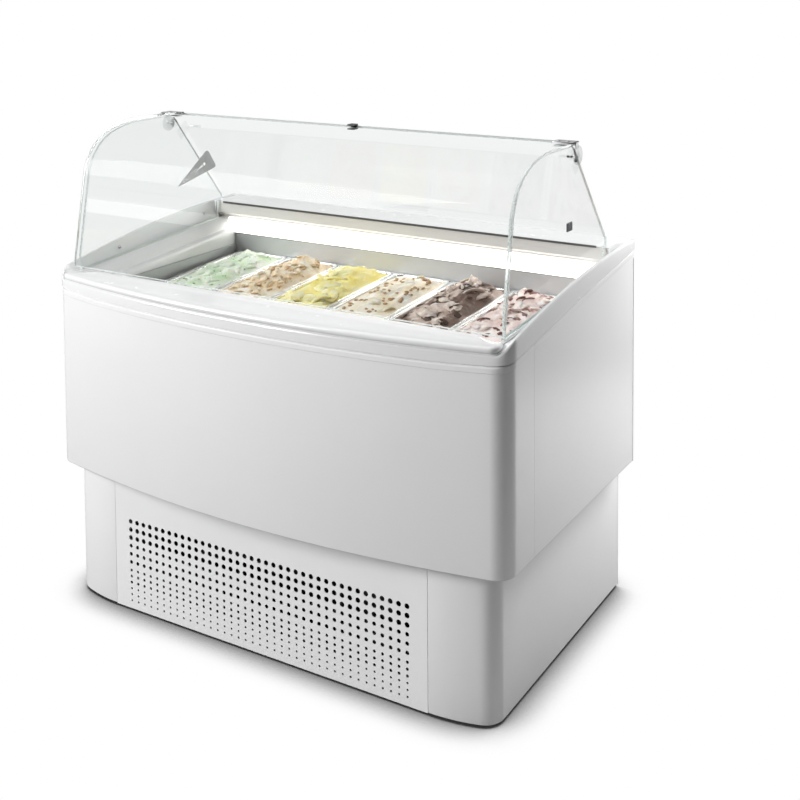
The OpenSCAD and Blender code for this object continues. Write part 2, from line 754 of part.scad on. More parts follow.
// A dish let in through the rear panel's opening, with a flange behind the sheet
module control_panel() {
    z = (ctrl_z0 + ctrl_z1) / 2;
    flange_y = rear_y - sheet - gap;
    wall = ctrl_edge - 1.5;
    color("dimgray") difference() {
        union() {
            block([ctrl_x - ctrl_half, flange_y - 2, ctrl_z0], [ctrl_x + ctrl_half, flange_y, ctrl_z1]);
            block([ctrl_x - ctrl_half + wall, ctrl_y - ctrl_t, ctrl_z0 + wall],
                  [ctrl_x + ctrl_half - wall, flange_y, ctrl_z1 - wall]);
        }
        block([ctrl_x - ctrl_half + ctrl_edge, ctrl_y, ctrl_z0 + ctrl_edge],
              [ctrl_x + ctrl_half - ctrl_edge, rear_y, ctrl_z1 - ctrl_edge]);
        translate([knob_x, ctrl_y + 1, z]) rotate([90, 0, 0]) cylinder(r = 5.06, h = 5);
        for (x = switch_xs)
            block([x - switch_w / 2 - 0.4, ctrl_y - 4, z - switch_h / 2 - 6.9],
                  [x + switch_w / 2 + 0.4, ctrl_y + 1, z + switch_h / 2 + 6.9]);
    }
}

module thermostat_knob() {
    z = (ctrl_z0 + ctrl_z1) / 2;
    color("black") translate([knob_x, ctrl_y, z]) rotate([-90, 0, 0]) {
        translate([0, 0, 3]) difference() {
            cylinder(r = 19, h = 15);
            for (a = [0:30:330]) rotate([0, 0, a]) translate([20, 0, 5]) cylinder(r = 2.2, h = 12);
        }
        translate([0, 0, -12]) cylinder(r = 5, h = 16);
        translate([-1.2, -19, 17]) cube([2.4, 16, 2]);
    }
}

// A rocker: a cylinder sector that tips about its own axis
module rocker(x) {
    z = (ctrl_z0 + ctrl_z1) / 2;
    translate([x, ctrl_y - 4, z]) rotate([0, 90, 0]) intersection() {
        cylinder(r = 13, h = switch_w, center = true);
        translate([-11, 2, -switch_w]) cube([22, 12, 2 * switch_w]);
    }
}
module power_switch() { color("green") rocker(switch_xs[0]); }
module light_switch() { color("black") rocker(switch_xs[1]); }

module power_cable() {
    color("black") {
        translate([-450, rear_y - 8, 90]) rotate([-90, 0, 0]) cylinder(r = 10.5, h = 7);
        tube_path([[-340, 240, 90], [-340, 300, 90], [-450, 330, 90], [-450, rear_y - 6, 90]], 4.5);
    }
}

/* ---------- feet ---------- */

module foot(sx, y) {
    color("dimgray") translate([sx * foot_x, y, 0]) {
        cylinder(r = foot_r, h = 5);
        translate([0, 0, 5]) cylinder(r1 = foot_r, r2 = 9, h = 4);
        cylinder(r = stud_r, h = 60);
    }
}
module foot_front_left() { foot(-1, foot_y[0]); }
module foot_front_right() { foot(1, foot_y[0]); }
module foot_rear_left() { foot(-1, foot_y[1]); }
module foot_rear_right() { foot(1, foot_y[1]); }

chassis();
base_side_left();
base_side_right();
vent_panel();
base_rear_panel();
body_front_panel();
body_side_left();
body_side_right();
body_rear_panel();
body_floor();
insulation();
inner_tank();
evaporator_coil();
top_frame();
rear_deck();
deck_fascia();
deck_seal();
lamp_tube();
lamp_cover();
lamp_holders();
pan_support();
front_infill();
end_glass_left();
end_glass_right();
glass_rails();
rail_screws();
hinge_mounts();
front_glass();
glass_hinges();
glass_stop();
rear_flap();
flap_hinges();
flap_pads();
pan_1();
pan_2();
pan_3();
pan_4();
pan_5();
pan_6();
ice_cream_1();
ice_cream_2();
ice_cream_3();
ice_cream_4();
ice_cream_5();
ice_cream_6();
compressor();
condenser();
fan_motor();
fan_blade();
pipework();
electrical_box();
control_panel();
thermostat_knob();
power_switch();
light_switch();
foot_front_left();
foot_front_right();
foot_rear_left();
foot_rear_right();
power_cable();
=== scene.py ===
"""Looks for the ice cream dipping cabinet: meshes, materials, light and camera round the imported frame."""
import math
import random

import bpy
import bmesh
import numpy as np
from mathutils import Matrix, Vector, noise

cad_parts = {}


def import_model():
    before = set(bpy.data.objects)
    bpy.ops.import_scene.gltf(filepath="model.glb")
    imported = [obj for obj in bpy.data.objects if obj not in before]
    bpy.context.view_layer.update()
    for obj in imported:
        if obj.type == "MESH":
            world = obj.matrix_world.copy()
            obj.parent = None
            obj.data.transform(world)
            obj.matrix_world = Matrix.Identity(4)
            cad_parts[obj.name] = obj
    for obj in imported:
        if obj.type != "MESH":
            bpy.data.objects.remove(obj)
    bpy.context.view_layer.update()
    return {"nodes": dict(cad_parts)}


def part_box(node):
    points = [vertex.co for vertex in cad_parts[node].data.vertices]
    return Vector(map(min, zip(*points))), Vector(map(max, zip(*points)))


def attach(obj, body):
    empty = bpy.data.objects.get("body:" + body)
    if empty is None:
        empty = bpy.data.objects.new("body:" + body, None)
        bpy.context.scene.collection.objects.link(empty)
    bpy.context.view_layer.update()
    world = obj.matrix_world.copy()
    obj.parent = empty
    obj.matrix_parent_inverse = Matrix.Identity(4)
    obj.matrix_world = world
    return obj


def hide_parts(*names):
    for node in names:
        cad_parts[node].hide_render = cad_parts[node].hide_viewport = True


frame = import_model()

# ---------- measures, taken from the frame where it states them ----------
rim_lo, rim_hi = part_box("top_frame")
base_lo, base_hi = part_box("base_side_right")
vent_lo, vent_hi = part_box("vent_panel")
HALF_W = rim_hi.x
FRONT_Y = rim_lo.y
REAR_Y = rim_hi.y
BODY_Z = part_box("body_front_panel")[0].z
BOW_R = 2.925
CORNER_R = 0.050
JOINT_Z = rim_lo.z + 0.001
WELL_X = 0.535
WELL_FRONT = -0.248
WELL_R = 0.040
DECK_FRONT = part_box("rear_deck")[0].y
RIM_Z = 0.787
LIP_Z = 0.7438
SEAM_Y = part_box("body_front_panel")[1].y


def smooth(t):
    """Smooth step from 0 to 1."""
    t = min(1.0, max(0.0, t))
    return t * t * (3 - 2 * t)


def crest_z(y):
    """Height of the side rails' outer crest."""
    return 0.865 - (0.387 - y) ** 2 / 6.490


def skirt_z(y):
    """Height of the frame's lower edge."""
    return max(JOINT_Z, 0.840 - 0.11 * (0.377 - y) - (0.377 - y) ** 2 / 34.48)


def foot_z(y):
    """Height of the foot of the end glasses."""
    return 0.785 + 0.0636 * max(0.0, y + 0.237)


# ---------- materials ----------
class Shader:
    """One material's node tree, with short calls for the nodes that the finishes use."""

    def __init__(self, name):
        self.mat = bpy.data.materials.new(name)
        self.mat.use_nodes = True
        self.tree = self.mat.node_tree
        self.tree.nodes.clear()
        self.out = self.add("ShaderNodeOutputMaterial")
        self.where = self.add("ShaderNodeTexCoord").outputs["Object"]

    def add(self, kind, **values):
        node = self.tree.nodes.new(kind)
        for key, value in values.items():
            if hasattr(node, key):
                setattr(node, key, value)
            else:
                node.inputs[key.replace("_", " ")].default_value = value
        return node

    def link(self, a, b):
        self.tree.links.new(a, b)
        return b

    def noise(self, scale, detail=4, stretch=(1, 1, 1), rough=0.5):
        mapping = self.add("ShaderNodeMapping")
        mapping.inputs["Scale"].default_value = stretch
        self.link(self.where, mapping.inputs["Vector"])
        tex = self.add("ShaderNodeTexNoise", Scale=scale, Detail=detail, Roughness=rough)
        self.link(mapping.outputs[0], tex.inputs["Vector"])
        return tex.outputs["Fac"]

    def span(self, value, lo, hi, to_lo, to_hi):
        node = self.add("ShaderNodeMapRange", clamp=True)
        for i, v in zip((1, 2, 3, 4), (lo, hi, to_lo, to_hi)):
            node.inputs[i].default_value = v
        self.link(value, node.inputs[0])
        return node.outputs[0]

    def mix(self, fac, a, b):
        node = self.add("ShaderNodeMix", data_type="RGBA")
        self.link(fac, node.inputs[0])
        for socket, colour in ((node.inputs[6], a), (node.inputs[7], b)):
            if isinstance(colour, tuple):
                socket.default_value = (*colour, 1)
            else:
                self.link(colour, socket)
        return node.outputs[2]

    def bump(self, height, strength, distance, under=None):
        node = self.add("ShaderNodeBump", Strength=strength, Distance=distance)
        self.link(height, node.inputs["Height"])
        if under is not None:
            self.link(under, node.inputs["Normal"])
        return node.outputs[0]

    def surface(self, colour, rough, normal=None, **values):
        bsdf = self.add("ShaderNodeBsdfPrincipled")
        for key, value in values.items():
            bsdf.inputs[key.replace("_", " ")].default_value = value
        if isinstance(colour, tuple):
            bsdf.inputs["Base Color"].default_value = (*colour, 1)
        else:
            self.link(colour, bsdf.inputs["Base Color"])
        if isinstance(rough, float):
            bsdf.inputs["Roughness"].default_value = rough
        else:
            self.link(rough, bsdf.inputs["Roughness"])
        if normal is not None:
            self.link(normal, bsdf.inputs["Normal"])
        self.link(bsdf.outputs[0], self.out.inputs[0])
        return bsdf


def shade(colour, k):
    return tuple(min(1.0, c * k) for c in colour)


def coated(name, colour, rough=0.32, peel=0.04, coat=0.3):
    """Sprayed or moulded gloss surface: faint mottling, orange peel and scuffed patches."""
    s = Shader(name)
    tone = s.mix(s.noise(3.5, 3), shade(colour, 0.97), shade(colour, 1.02))
    marks = s.span(s.noise(38, 6, (1, 1, 2.5)), 0.52, 0.75, 0, 1)
    finish = s.span(marks, 0, 1, rough, rough + 0.10)
    skin = s.bump(s.noise(420, 2), peel, 0.0004)
    skin = s.bump(s.noise(60, 2), peel * 0.5, 0.0008, skin)
    s.surface(tone, finish, skin, Coat_Weight=coat, Coat_Roughness=0.08, Specular_IOR_Level=0.5)
    return s.mat


def brushed(name, colour, rough=0.28, stretch=(1, 60, 60), depth=0.05, metal=1.0):
    """Brushed metal: long fine scratches along one axis, with wiped smears; metal is the metallic share."""
    s = Shader(name)
    lines = s.noise(26, 6, stretch, 0.7)
    smear = s.noise(6, 3, (1, 2, 1))
    tone = s.mix(lines, shade(colour, 0.86), shade(colour, 1.08))
    finish = s.span(smear, 0.3, 0.7, rough - 0.07, rough + 0.12)
    s.surface(tone, finish, s.bump(lines, depth, 0.0006), Metallic=metal)
    return s.mat


def moulded(name, colour, rough=0.5, grain=260, depth=0.12):
    """Fine-textured plastic, rubber or foam."""
    s = Shader(name)
    tone = s.mix(s.noise(14, 3), shade(colour, 0.88), shade(colour, 1.12))
    finish = s.span(s.noise(50, 4), 0.3, 0.7, rough - 0.08, rough + 0.1)
    s.surface(tone, finish, s.bump(s.noise(grain, 3), depth, 0.0008))
    return s.mat


def clear(name, tint, through, gloss=0.02):
    """A thin clear sheet: mostly see-through, with Fresnel reflections and faint wipe marks."""
    s = Shader(name)
    window = s.add("ShaderNodeBsdfTransparent", Color=(*tint, 1))
    shine = s.add("ShaderNodeBsdfGlossy", Color=(1, 1, 1, 1))
    s.link(s.span(s.noise(9, 4, (1, 1, 3)), 0.45, 0.8, gloss, gloss + 0.05), shine.inputs["Roughness"])
    fresnel = s.add("ShaderNodeFresnel", IOR=1.5)
    s.link(s.bump(s.noise(3, 1), 0.03, 0.002), fresnel.inputs["Normal"])
    facing = s.span(s.add("ShaderNodeNewGeometry").outputs["Backfacing"], 0, 1, through, 0)
    amount = s.add("ShaderNodeMath", operation="MULTIPLY")
    s.link(fresnel.outputs[0], amount.inputs[0])
    s.link(facing, amount.inputs[1])
    mixed = s.add("ShaderNodeMixShader")
    s.link(amount.outputs[0], mixed.inputs[0])
    s.link(window.outputs[0], mixed.inputs[1])
    s.link(shine.outputs[0], mixed.inputs[2])
    s.link(mixed.outputs[0], s.out.inputs[0])
    return s.mat


def glass_edge():
    """Ground edge of a pane: frosted, grey-green, darkened towards the top as a painted dark reflection."""
    s = Shader("ground_glass_edge")
    height = s.add("ShaderNodeSeparateXYZ")
    s.link(s.where, height.inputs[0])
    # painted reflection: above 0.86 m the edge blends to a darker grey, standing in for the dark surroundings it
    # reflects
    top = s.span(height.outputs["Z"], 0.86, 1.10, 0, 1)
    tone = s.mix(top, s.mix(s.noise(120, 3), (0.74, 0.81, 0.79), (0.86, 0.90, 0.885)), (0.70, 0.74, 0.73))
    s.surface(tone, s.span(s.noise(300, 2), 0.3, 0.7, 0.18, 0.4), s.bump(s.noise(600, 2), 0.1, 0.0004),
              Transmission_Weight=0.25, IOR=1.5)
    return s.mat


def glowing(name, colour, strength):
    """Lit opal plastic: brightness varying slowly over it, with a fine grain."""
    s = Shader(name)
    grain = s.bump(s.noise(500, 2), 0.05, 0.0004)
    bsdf = s.surface(s.mix(s.noise(80, 2), shade(colour, 0.97), colour), 0.35, grain, Emission_Strength=strength)
    s.link(s.mix(s.noise(2, 1), shade(colour, 0.95), colour), bsdf.inputs["Emission Color"])
    return s.mat


def frozen(name, pale, deep, spots, spot_size=60, spot_cut=0.60, vein=None, folds=1.0):
    """Ice cream: two tones, spots of a third colour, optional streaks, frost grain and a soft sheen."""
    s = Shader(name)
    tone = s.mix(s.span(s.noise(24 * folds, 5, (1, 0.6, 1.5)), 0.35, 0.68, 0, 1), pale, deep)
    if vein:
        band = s.span(s.noise(13, 7, (1, 0.5, 1), 0.62), 0.49, 0.56, 0, 1)
        tone = s.mix(band, tone, vein)
    if spots:
        blot = s.span(s.noise(spot_size, 4, (1, 0.8, 1), 0.6), spot_cut, spot_cut + 0.05, 0, 1)
        tone = s.mix(blot, tone, spots)
    grain = s.bump(s.noise(520, 4), 0.35, 0.0009)
    rough_bump = s.bump(s.noise(130, 6, (1, 1, 1), 0.65), 0.55, 0.003, grain)
    s.surface(tone, s.span(s.noise(70, 3), 0.3, 0.7, 0.38, 0.62), rough_bump,
              Subsurface_Weight=0.22, Subsurface_Radius=(0.010, 0.007, 0.004), Subsurface_Scale=0.5,
              Specular_IOR_Level=0.45)
    return s.mat


MAT = {
    "paint": coated("white_sprayed_steel", (0.82, 0.82, 0.82), 0.30, 0.05, 0.35),
    "abs": coated("white_gloss_moulding", (0.80, 0.80, 0.805), 0.20, 0.03, 0.5),
    "zinc": brushed("galvanised_sheet", (0.60, 0.61, 0.62), 0.42, (3, 3, 3), 0.08),
    "steel": brushed("brushed_tank_steel", (0.62, 0.62, 0.62), 0.30),
    "liner": brushed("well_liner_steel", (0.54, 0.545, 0.55), 0.46, (1, 30, 30), 0.03, 0.55),
    "pan": brushed("pan_steel", (0.90, 0.90, 0.89), 0.26, (40, 1, 40), 0.03, 0.8),
    "bright": brushed("bright_hardware", (0.74, 0.74, 0.74), 0.20, (8, 8, 8), 0.03),
    "dark_metal": brushed("dark_polished_fitting", (0.32, 0.325, 0.33), 0.20, (6, 6, 6), 0.03),
    "cap": coated("pale_hinge_cap", (0.93, 0.935, 0.935), 0.25, 0.04, 0.4),
    "fascia": coated("satin_fascia", (0.72, 0.70, 0.675), 0.38, 0.03, 0.1),
    "seal": moulded("black_seal", (0.075, 0.075, 0.075), 0.45, 300, 0.1),
    "black": moulded("black_plastic", (0.03, 0.03, 0.032), 0.42, 260, 0.12),
    "foam": moulded("rigid_foam", (0.72, 0.62, 0.36), 0.85, 120, 0.5),
    "dull": brushed("dull_tray_steel", (0.16, 0.165, 0.17), 0.55, (3, 3, 3), 0.08),
    "copper": brushed("copper_tube", (0.72, 0.36, 0.22), 0.30, (5, 5, 5), 0.05),
    # painted shade: the fins' dark grey is set so the vent holes look dark from outside
    "fins": brushed("shade_darkened_fins", (0.20, 0.205, 0.21), 0.50, (3, 3, 3), 0.05),
    "machine": coated("machine_enamel", (0.028, 0.028, 0.03), 0.38, 0.12, 0.2),
    "green": moulded("green_rocker", (0.03, 0.30, 0.10), 0.25, 300, 0.04),
    "glass": clear("hood_glass", (0.945, 0.952, 0.950), 0.12, 0.05),
    "pane": clear("end_pane_glass", (0.980, 0.987, 0.985), 0.7),
    "acrylic": clear("flap_acrylic", (0.988, 0.99, 0.99), 0.8, 0.03),
    "clip": clear("clear_bracket", (0.975, 0.98, 0.98), 0.6, 0.05),
    "frost": clear("pale_clear_boss", (0.90, 0.905, 0.905), 0.6, 0.10),
    "rail": coated("glazing_strip", (0.52, 0.57, 0.55), 0.35, 0.04, 0.2),
    "wedge": coated("grey_stop_plate", (0.34, 0.345, 0.35), 0.22, 0.05, 0.5),
    "pad": moulded("grey_pad", (0.12, 0.125, 0.13), 0.40, 200, 0.08),
    "edge": glass_edge(),
    "diffuser": glowing("opal_diffuser", (1.0, 0.99, 0.97), 3.2),
    "tube": glowing("lamp_tube_glass", (1.0, 0.98, 0.94), 2.5),
}


# ---------- mesh helpers ----------
def make(name, verts, faces, mats, face_mats=None, flat=False):
    """A mesh object from lists, with clean normals and smooth shading split at sharp edges."""
    mesh = bpy.data.meshes.new(name)
    mesh.from_pydata([tuple(v) for v in verts], [], faces)
    for m in mats:
        mesh.materials.append(m)
    if face_mats:
        mesh.polygons.foreach_set("material_index", face_mats)
    bm = bmesh.new()
    bm.from_mesh(mesh)
    bmesh.ops.remove_doubles(bm, verts=bm.verts, dist=1e-6)
    bmesh.ops.recalc_face_normals(bm, faces=bm.faces)
    bm.to_mesh(mesh)
    bm.free()
    mesh.shade_smooth()
    if not flat:
        mesh.set_sharp_from_angle(angle=math.radians(32))
    obj = bpy.data.objects.new(name, mesh)
    bpy.context.scene.collection.objects.link(obj)
    return obj


def loft(name, rings, mats, closed_ring=True, caps=True, closed_path=False):
    """Joins equal rings of points by quads; caps close the two ends."""
    n = len(rings[0])
    verts = [p for ring in rings for p in ring]
    faces = []
    count = len(rings)
    for i in range(count if closed_path else count - 1):
        a, b = i * n, ((i + 1) % count) * n
        for j in range(n if closed_ring else n - 1):
            k = (j + 1) % n
            faces.append((a + j, a + k, b + k, b + j))
    if caps:
        faces.append(tuple(range(n))[::-1])
        faces.append(tuple(range((count - 1) * n, count * n)))
    return make(name, verts, faces, mats)


def rounded(obj, width, segments=2, angle=35):
    """Bevels the sharp edges of a piece or a CAD node, as a modifier."""
    mod = obj.modifiers.new("edges", "BEVEL")
    mod.width = width
    mod.segments = segments
    mod.limit_method = "ANGLE"
    mod.angle_limit = math.radians(angle)
    mod.harden_normals = False
    return obj


def finish_node(name, mat, width=0.0):
    """Gives a CAD node its finish and, where a width is given, a small edge radius."""
    obj = frame["nodes"][name]
    obj.data.materials.clear()
    obj.data.materials.append(MAT[mat])
    if width:
        rounded(obj, width)
    return obj


def place(obj, body, slot, *nodes):
    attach(obj, body)
    if nodes:
        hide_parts(*nodes)
    return obj


# ---------- plan outlines ----------
def body_stations(inset, y_end, n_bow=40, n_corner=18, n_side=26):
    """Stations round the upper body, from the left rear to the right rear.

    Each is (x, y, nx, ny, t): a point, its outward normal, and t, 0 on the front and 1 on a side."""
    cx = HALF_W - CORNER_R
    bow_y = FRONT_Y + BOW_R
    cy = bow_y - math.sqrt((BOW_R - CORNER_R) ** 2 - cx ** 2)
    a0 = math.atan2(cy - bow_y, cx)
    half = []
    for i in range(n_bow + 1):
        a = -math.pi / 2 + (a0 + math.pi / 2) * i / n_bow
        c, s = math.cos(a), math.sin(a)
        half.append(((BOW_R - inset) * c, bow_y + (BOW_R - inset) * s, c, s, 0.0))
    for i in range(1, n_corner + 1):
        a = a0 * (1 - i / n_corner)
        c, s = math.cos(a), math.sin(a)
        half.append((cx + (CORNER_R - inset) * c, cy + (CORNER_R - inset) * s, c, s, i / n_corner))
    for i in range(1, n_side + 1):
        half.append((HALF_W - inset, cy + (y_end - cy) * i / n_side, 1.0, 0.0, 1.0))
    left = [(-x, y, -nx, ny, t) for x, y, nx, ny, t in half[:0:-1]]
    return left + half


def well_point(x, y, t):
    """The point on the well's edge that belongs to a station of the outline."""
    sign = -1 if x < 0 else 1
    if t == 0.0:
        return x * (WELL_X - WELL_R) / (HALF_W - CORNER_R), WELL_FRONT
    if t < 1.0:
        a = -math.pi / 2 * (1 - t)
        return (sign * (WELL_X - WELL_R + WELL_R * math.cos(a)), WELL_FRONT + WELL_R + WELL_R * math.sin(a))
    start = FRONT_Y + 0.1055
    k = (y - start) / (REAR_Y - start)
    return sign * WELL_X, (WELL_FRONT + WELL_R) + (REAR_Y - WELL_FRONT - WELL_R) * k


# ---------- top frame ----------
def frame_section(x, y, nx, ny, t):
    """Closed section of the top frame at one station, as points in space."""
    k = smooth(t)
    side_y = max(y, -0.2715)
    wall = 0.0042 * (1 - smooth(t * 1.6))
    crest = 0.7705 + (crest_z(side_y) - 0.7705) * smooth((t - 0.15) / 0.85)
    low = skirt_z(y)
    foot = RIM_Z + (foot_z(y) + 0.001 - RIM_Z) * k
    bead = 0.0005 + 0.0305 * k
    bead_low = 0.7712 + (foot - 0.004 - 0.7712) * k
    roll = 0.0075 - 0.0045 * k
    qx, qy = well_point(x, y, t)
    reach = max(0.012, (x - qx) * nx + (y - qy) * ny - bead - roll)
    drop = 0.028 * k

    def outer(d, z):
        return (x - nx * d, y - ny * d, z)

    bx, by = x - nx * (bead + roll), y - ny * (bead + roll)

    def inner(f, z):
        return (bx + (qx - bx) * f, by + (qy - by) * f, z)

    lip = 0.006 / max(reach, 0.02)
    ridge = max(0.0, crest - bead_low - 0.004) * 0.5
    points = [
        outer(wall + 0.0023, low + 0.0005), outer(wall + 0.0018, low), outer(wall + 0.0005, low),
        outer(wall, low + 0.0006), outer(wall, low + 0.010),
        outer(wall, crest - 0.0060), outer(wall + 0.0006, crest - 0.0030), outer(wall + 0.0022, crest - 0.0008),
        outer(wall + 0.0045 * k + 0.0004, crest), outer(wall + 0.0075 * k + 0.0006, crest - 0.0008 * k),
        outer(wall + (bead - wall - 0.004) * 0.62 * k + 0.0008, bead_low + ridge * 0.8 + 0.0015),
        outer(wall + (bead - wall - 0.003) * 0.95 * k + 0.0010, bead_low + 0.0012),
    ]
    for i in range(7):
        a = -math.pi * 0.42 + math.pi * 0.92 * i / 6
        points.append(outer(bead + roll - roll * math.cos(a) * (1 if i else 0.92),
                            (foot - roll) + roll * math.sin(a)))
    points += [
        inner(0.10, foot + 0.0002), inner(0.35, foot - drop * 0.22), inner(0.62, foot - drop * 0.60),
        inner(1 - 2 * lip, foot - drop * 0.95 - 0.0004), inner(1 - lip, foot - drop - 0.0012),
        inner(1 - 0.35 * lip, foot - drop - 0.0035), inner(1, foot - drop - 0.0080),
        inner(1, LIP_Z + 0.002), inner(1 - 0.1 * lip, LIP_Z),
        inner(1 - 0.5 * lip, LIP_Z), inner(1 - 0.5 * lip, foot - drop - 0.010),
        inner(0.5, foot - drop * 0.5 - 0.0045), inner(0.05, foot - 0.006),
        outer(bead + 0.004, foot - 0.010 - 0.004 * k), outer(wall + 0.0030, low + 0.0060),
    ]
    return points


def top_frame():
    rings = [frame_section(*s) for s in body_stations(0.0, REAR_Y - 0.0005)]
    obj = loft("top_frame_moulding", rings, [MAT["abs"]])
    return place(obj, "cabinet", "white_plastic", "top_frame")


# ---------- panels ----------
def wrap_panel(name, stations, profile, mats):
    """A sheet that follows plan stations; profile(y) is a closed list of (inset, z)."""
    rings = [[(x - nx * d, y - ny * d, z) for d, z in profile(y)] for x, y, nx, ny, t in stations]
    return loft(name, rings, mats)


def sheet_profile(z0, z1, inset, band=None, groove=None, returns=0.016):
    """Section of a folded sheet: rolled lower edge with an inward return, optional raised top band."""
    t = 0.0012
    points = [(inset + returns, z0), (inset + 0.003, z0), (inset + 0.0009, z0 + 0.0009), (inset, z0 + 0.003)]
    if band:
        points += [(inset, band - 0.0012), (inset - 0.0012, band + 0.0004)]
        inset -= 0.0012
    if groove:
        points += [(inset, groove - 0.0030), (inset + 0.0016, groove - 0.0008), (inset + 0.0046, groove)]
        points += [(inset + 0.0050, z1), (inset + 0.0062, z1), (inset + 0.0062, groove - 0.0030)]
    else:
        points += [(inset, z1), (inset + t, z1)]
    points += [(inset + t + 0.0012, z0 + 0.004), (inset + 0.004, z0 + t), (inset + returns, z0 + t)]
    return points


def body_panels():
    gap, inset, lap, tuck, crest_gap, band_drop = 0.0003, 0.0030, 0.0018, 0.016, 0.010, 0.0125
    stations = [s for s in body_stations(0.0, SEAM_Y - gap, n_side=4)]

    def body_profile(y):
        joint = skirt_z(y) - lap
        top = min(joint + tuck, crest_z(y) - crest_gap)
        return sheet_profile(BODY_Z, top, inset, joint - band_drop, joint)

    front = wrap_panel("front_panel", stations, body_profile, [MAT["paint"]])
    place(front, "cabinet", "white_paint", "body_front_panel")
    for sign, side in ((-1, "left"), (1, "right")):
        rings = []
        y_start, y_end, steps = SEAM_Y + gap, REAR_Y - 0.0008, 24
        for i in range(steps + 1):
            y = y_start + (y_end - y_start) * i / steps
            rings.append([(sign * (HALF_W - d), y, z) for d, z in body_profile(y)])
        obj = loft(f"side_panel_{side}", rings, [MAT["paint"]])
        place(rounded(obj, 0.0005), "cabinet", "white_paint", f"body_side_{side}")


def base_panels():
    half = base_hi.x
    vent_half = vent_hi.x + 0.0002
    front = vent_lo.y
    bend, corner = 0.370, 0.045
    bend_y = front + bend
    cx = half - corner
    cy = bend_y - math.sqrt((bend - corner) ** 2 - (cx - vent_half) ** 2)
    a0 = math.atan2(cy - bend_y, cx - vent_half)
    stations = []
    for i in range(15):
        a = -math.pi / 2 + (a0 + math.pi / 2) * i / 14
        c, s = math.cos(a), math.sin(a)
        stations.append((vent_half + 0.0006 + bend * c, bend_y + bend * s, c, s, 0))
    for i in range(1, 17):
        a = a0 * (1 - i / 16)
        c, s = math.cos(a), math.sin(a)
        stations.append((cx + corner * c, cy + corner * s, c, s, 0))
    for i in range(1, 9):
        stations.append((half, cy + (base_hi.y - cy) * i / 8, 1, 0, 0))

    def profile(_):
        return sheet_profile(base_lo.z, base_hi.z, 0.0)

    for sign, side in ((-1, "left"), (1, "right")):
        row = [(sign * x, y, sign * nx, ny, t) for x, y, nx, ny, t in stations]
        obj = wrap_panel(f"base_wrap_{side}", row, profile, [MAT["paint"]])
        place(rounded(obj, 0.0006), "cabinet", "white_paint", f"base_side_{side}")


# ---------- glass ----------
HOOD_START = Vector((-0.278, 0.796))
HOOD_LEAN = math.radians(80)
HOOD_TURN = math.radians(20)
HOOD_RISE, HOOD_R1, HOOD_R2 = 0.222, 0.135, 0.300
HOOD_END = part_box("front_glass")[1].y
GLASS_T = 0.006
HINGE_Y, HINGE_Z = 0.080, 1.108


def hood_profile(d, y1, n=24):
    """Points (y, z) of the curved glass, inset by d, from its front edge to its rear edge."""
    def along(a):
        return Vector((math.cos(a), math.sin(a)))

    def inward(a):
        return Vector((math.sin(a), -math.cos(a)))

    p1 = HOOD_START + HOOD_RISE * along(HOOD_LEAN)
    c1 = p1 + HOOD_R1 * inward(HOOD_LEAN)
    c2 = c1 - HOOD_R1 * inward(HOOD_TURN) + HOOD_R2 * inward(HOOD_TURN)
    points = [HOOD_START + Vector((d / math.sin(HOOD_LEAN), 0))]
    start = p1 + d * inward(HOOD_LEAN)
    points += [points[0].lerp(start, i / 8) for i in range(1, 8)]
    points += [c1 - (HOOD_R1 - d) * inward(HOOD_LEAN + (HOOD_TURN - HOOD_LEAN) * i / n) for i in range(n + 1)]
    points += [c2 - (HOOD_R2 - d) * inward(HOOD_TURN * (1 - i / 10)) for i in range(1, 11)]
    last = points[-1]
    points += [Vector((last.x + (y1 - last.x) * i / 4, last.y)) for i in range(1, 5)]
    return points


def arris(obj, width):
    """Ground arrises round a pane, in the edge's own material."""
    mod = rounded(obj, width, 2, 50).modifiers["edges"]
    mod.material = 1
    return obj


def curved_glass():
    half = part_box("front_glass")[1].x
    outer, inner = hood_profile(0, HOOD_END), hood_profile(GLASS_T, HOOD_END)
    n = len(outer)
    verts = []
    for x in (-half, half):
        verts += [(x, p.x, p.y) for p in outer] + [(x, p.x, p.y) for p in inner]
    faces, mats = [], []
    far = 2 * n
    for i in range(n - 1):
        faces += [(i, i + 1, far + i + 1, far + i), (n + i, far + n + i, far + n + i + 1, n + i + 1),
                  (i, n + i, n + i + 1, i + 1), (far + i, far + i + 1, far + n + i + 1, far + n + i)]
        mats += [0, 0, 1, 1]
    faces += [(0, far, far + n, n), (n - 1, 2 * n - 1, far + 2 * n - 1, far + n - 1)]
    mats += [1, 1]
    obj = make("curved_front_glass", verts, faces, [MAT["glass"], MAT["edge"]], mats)
    place(arris(obj, 0.0007), "front_glass", "glass", "front_glass")


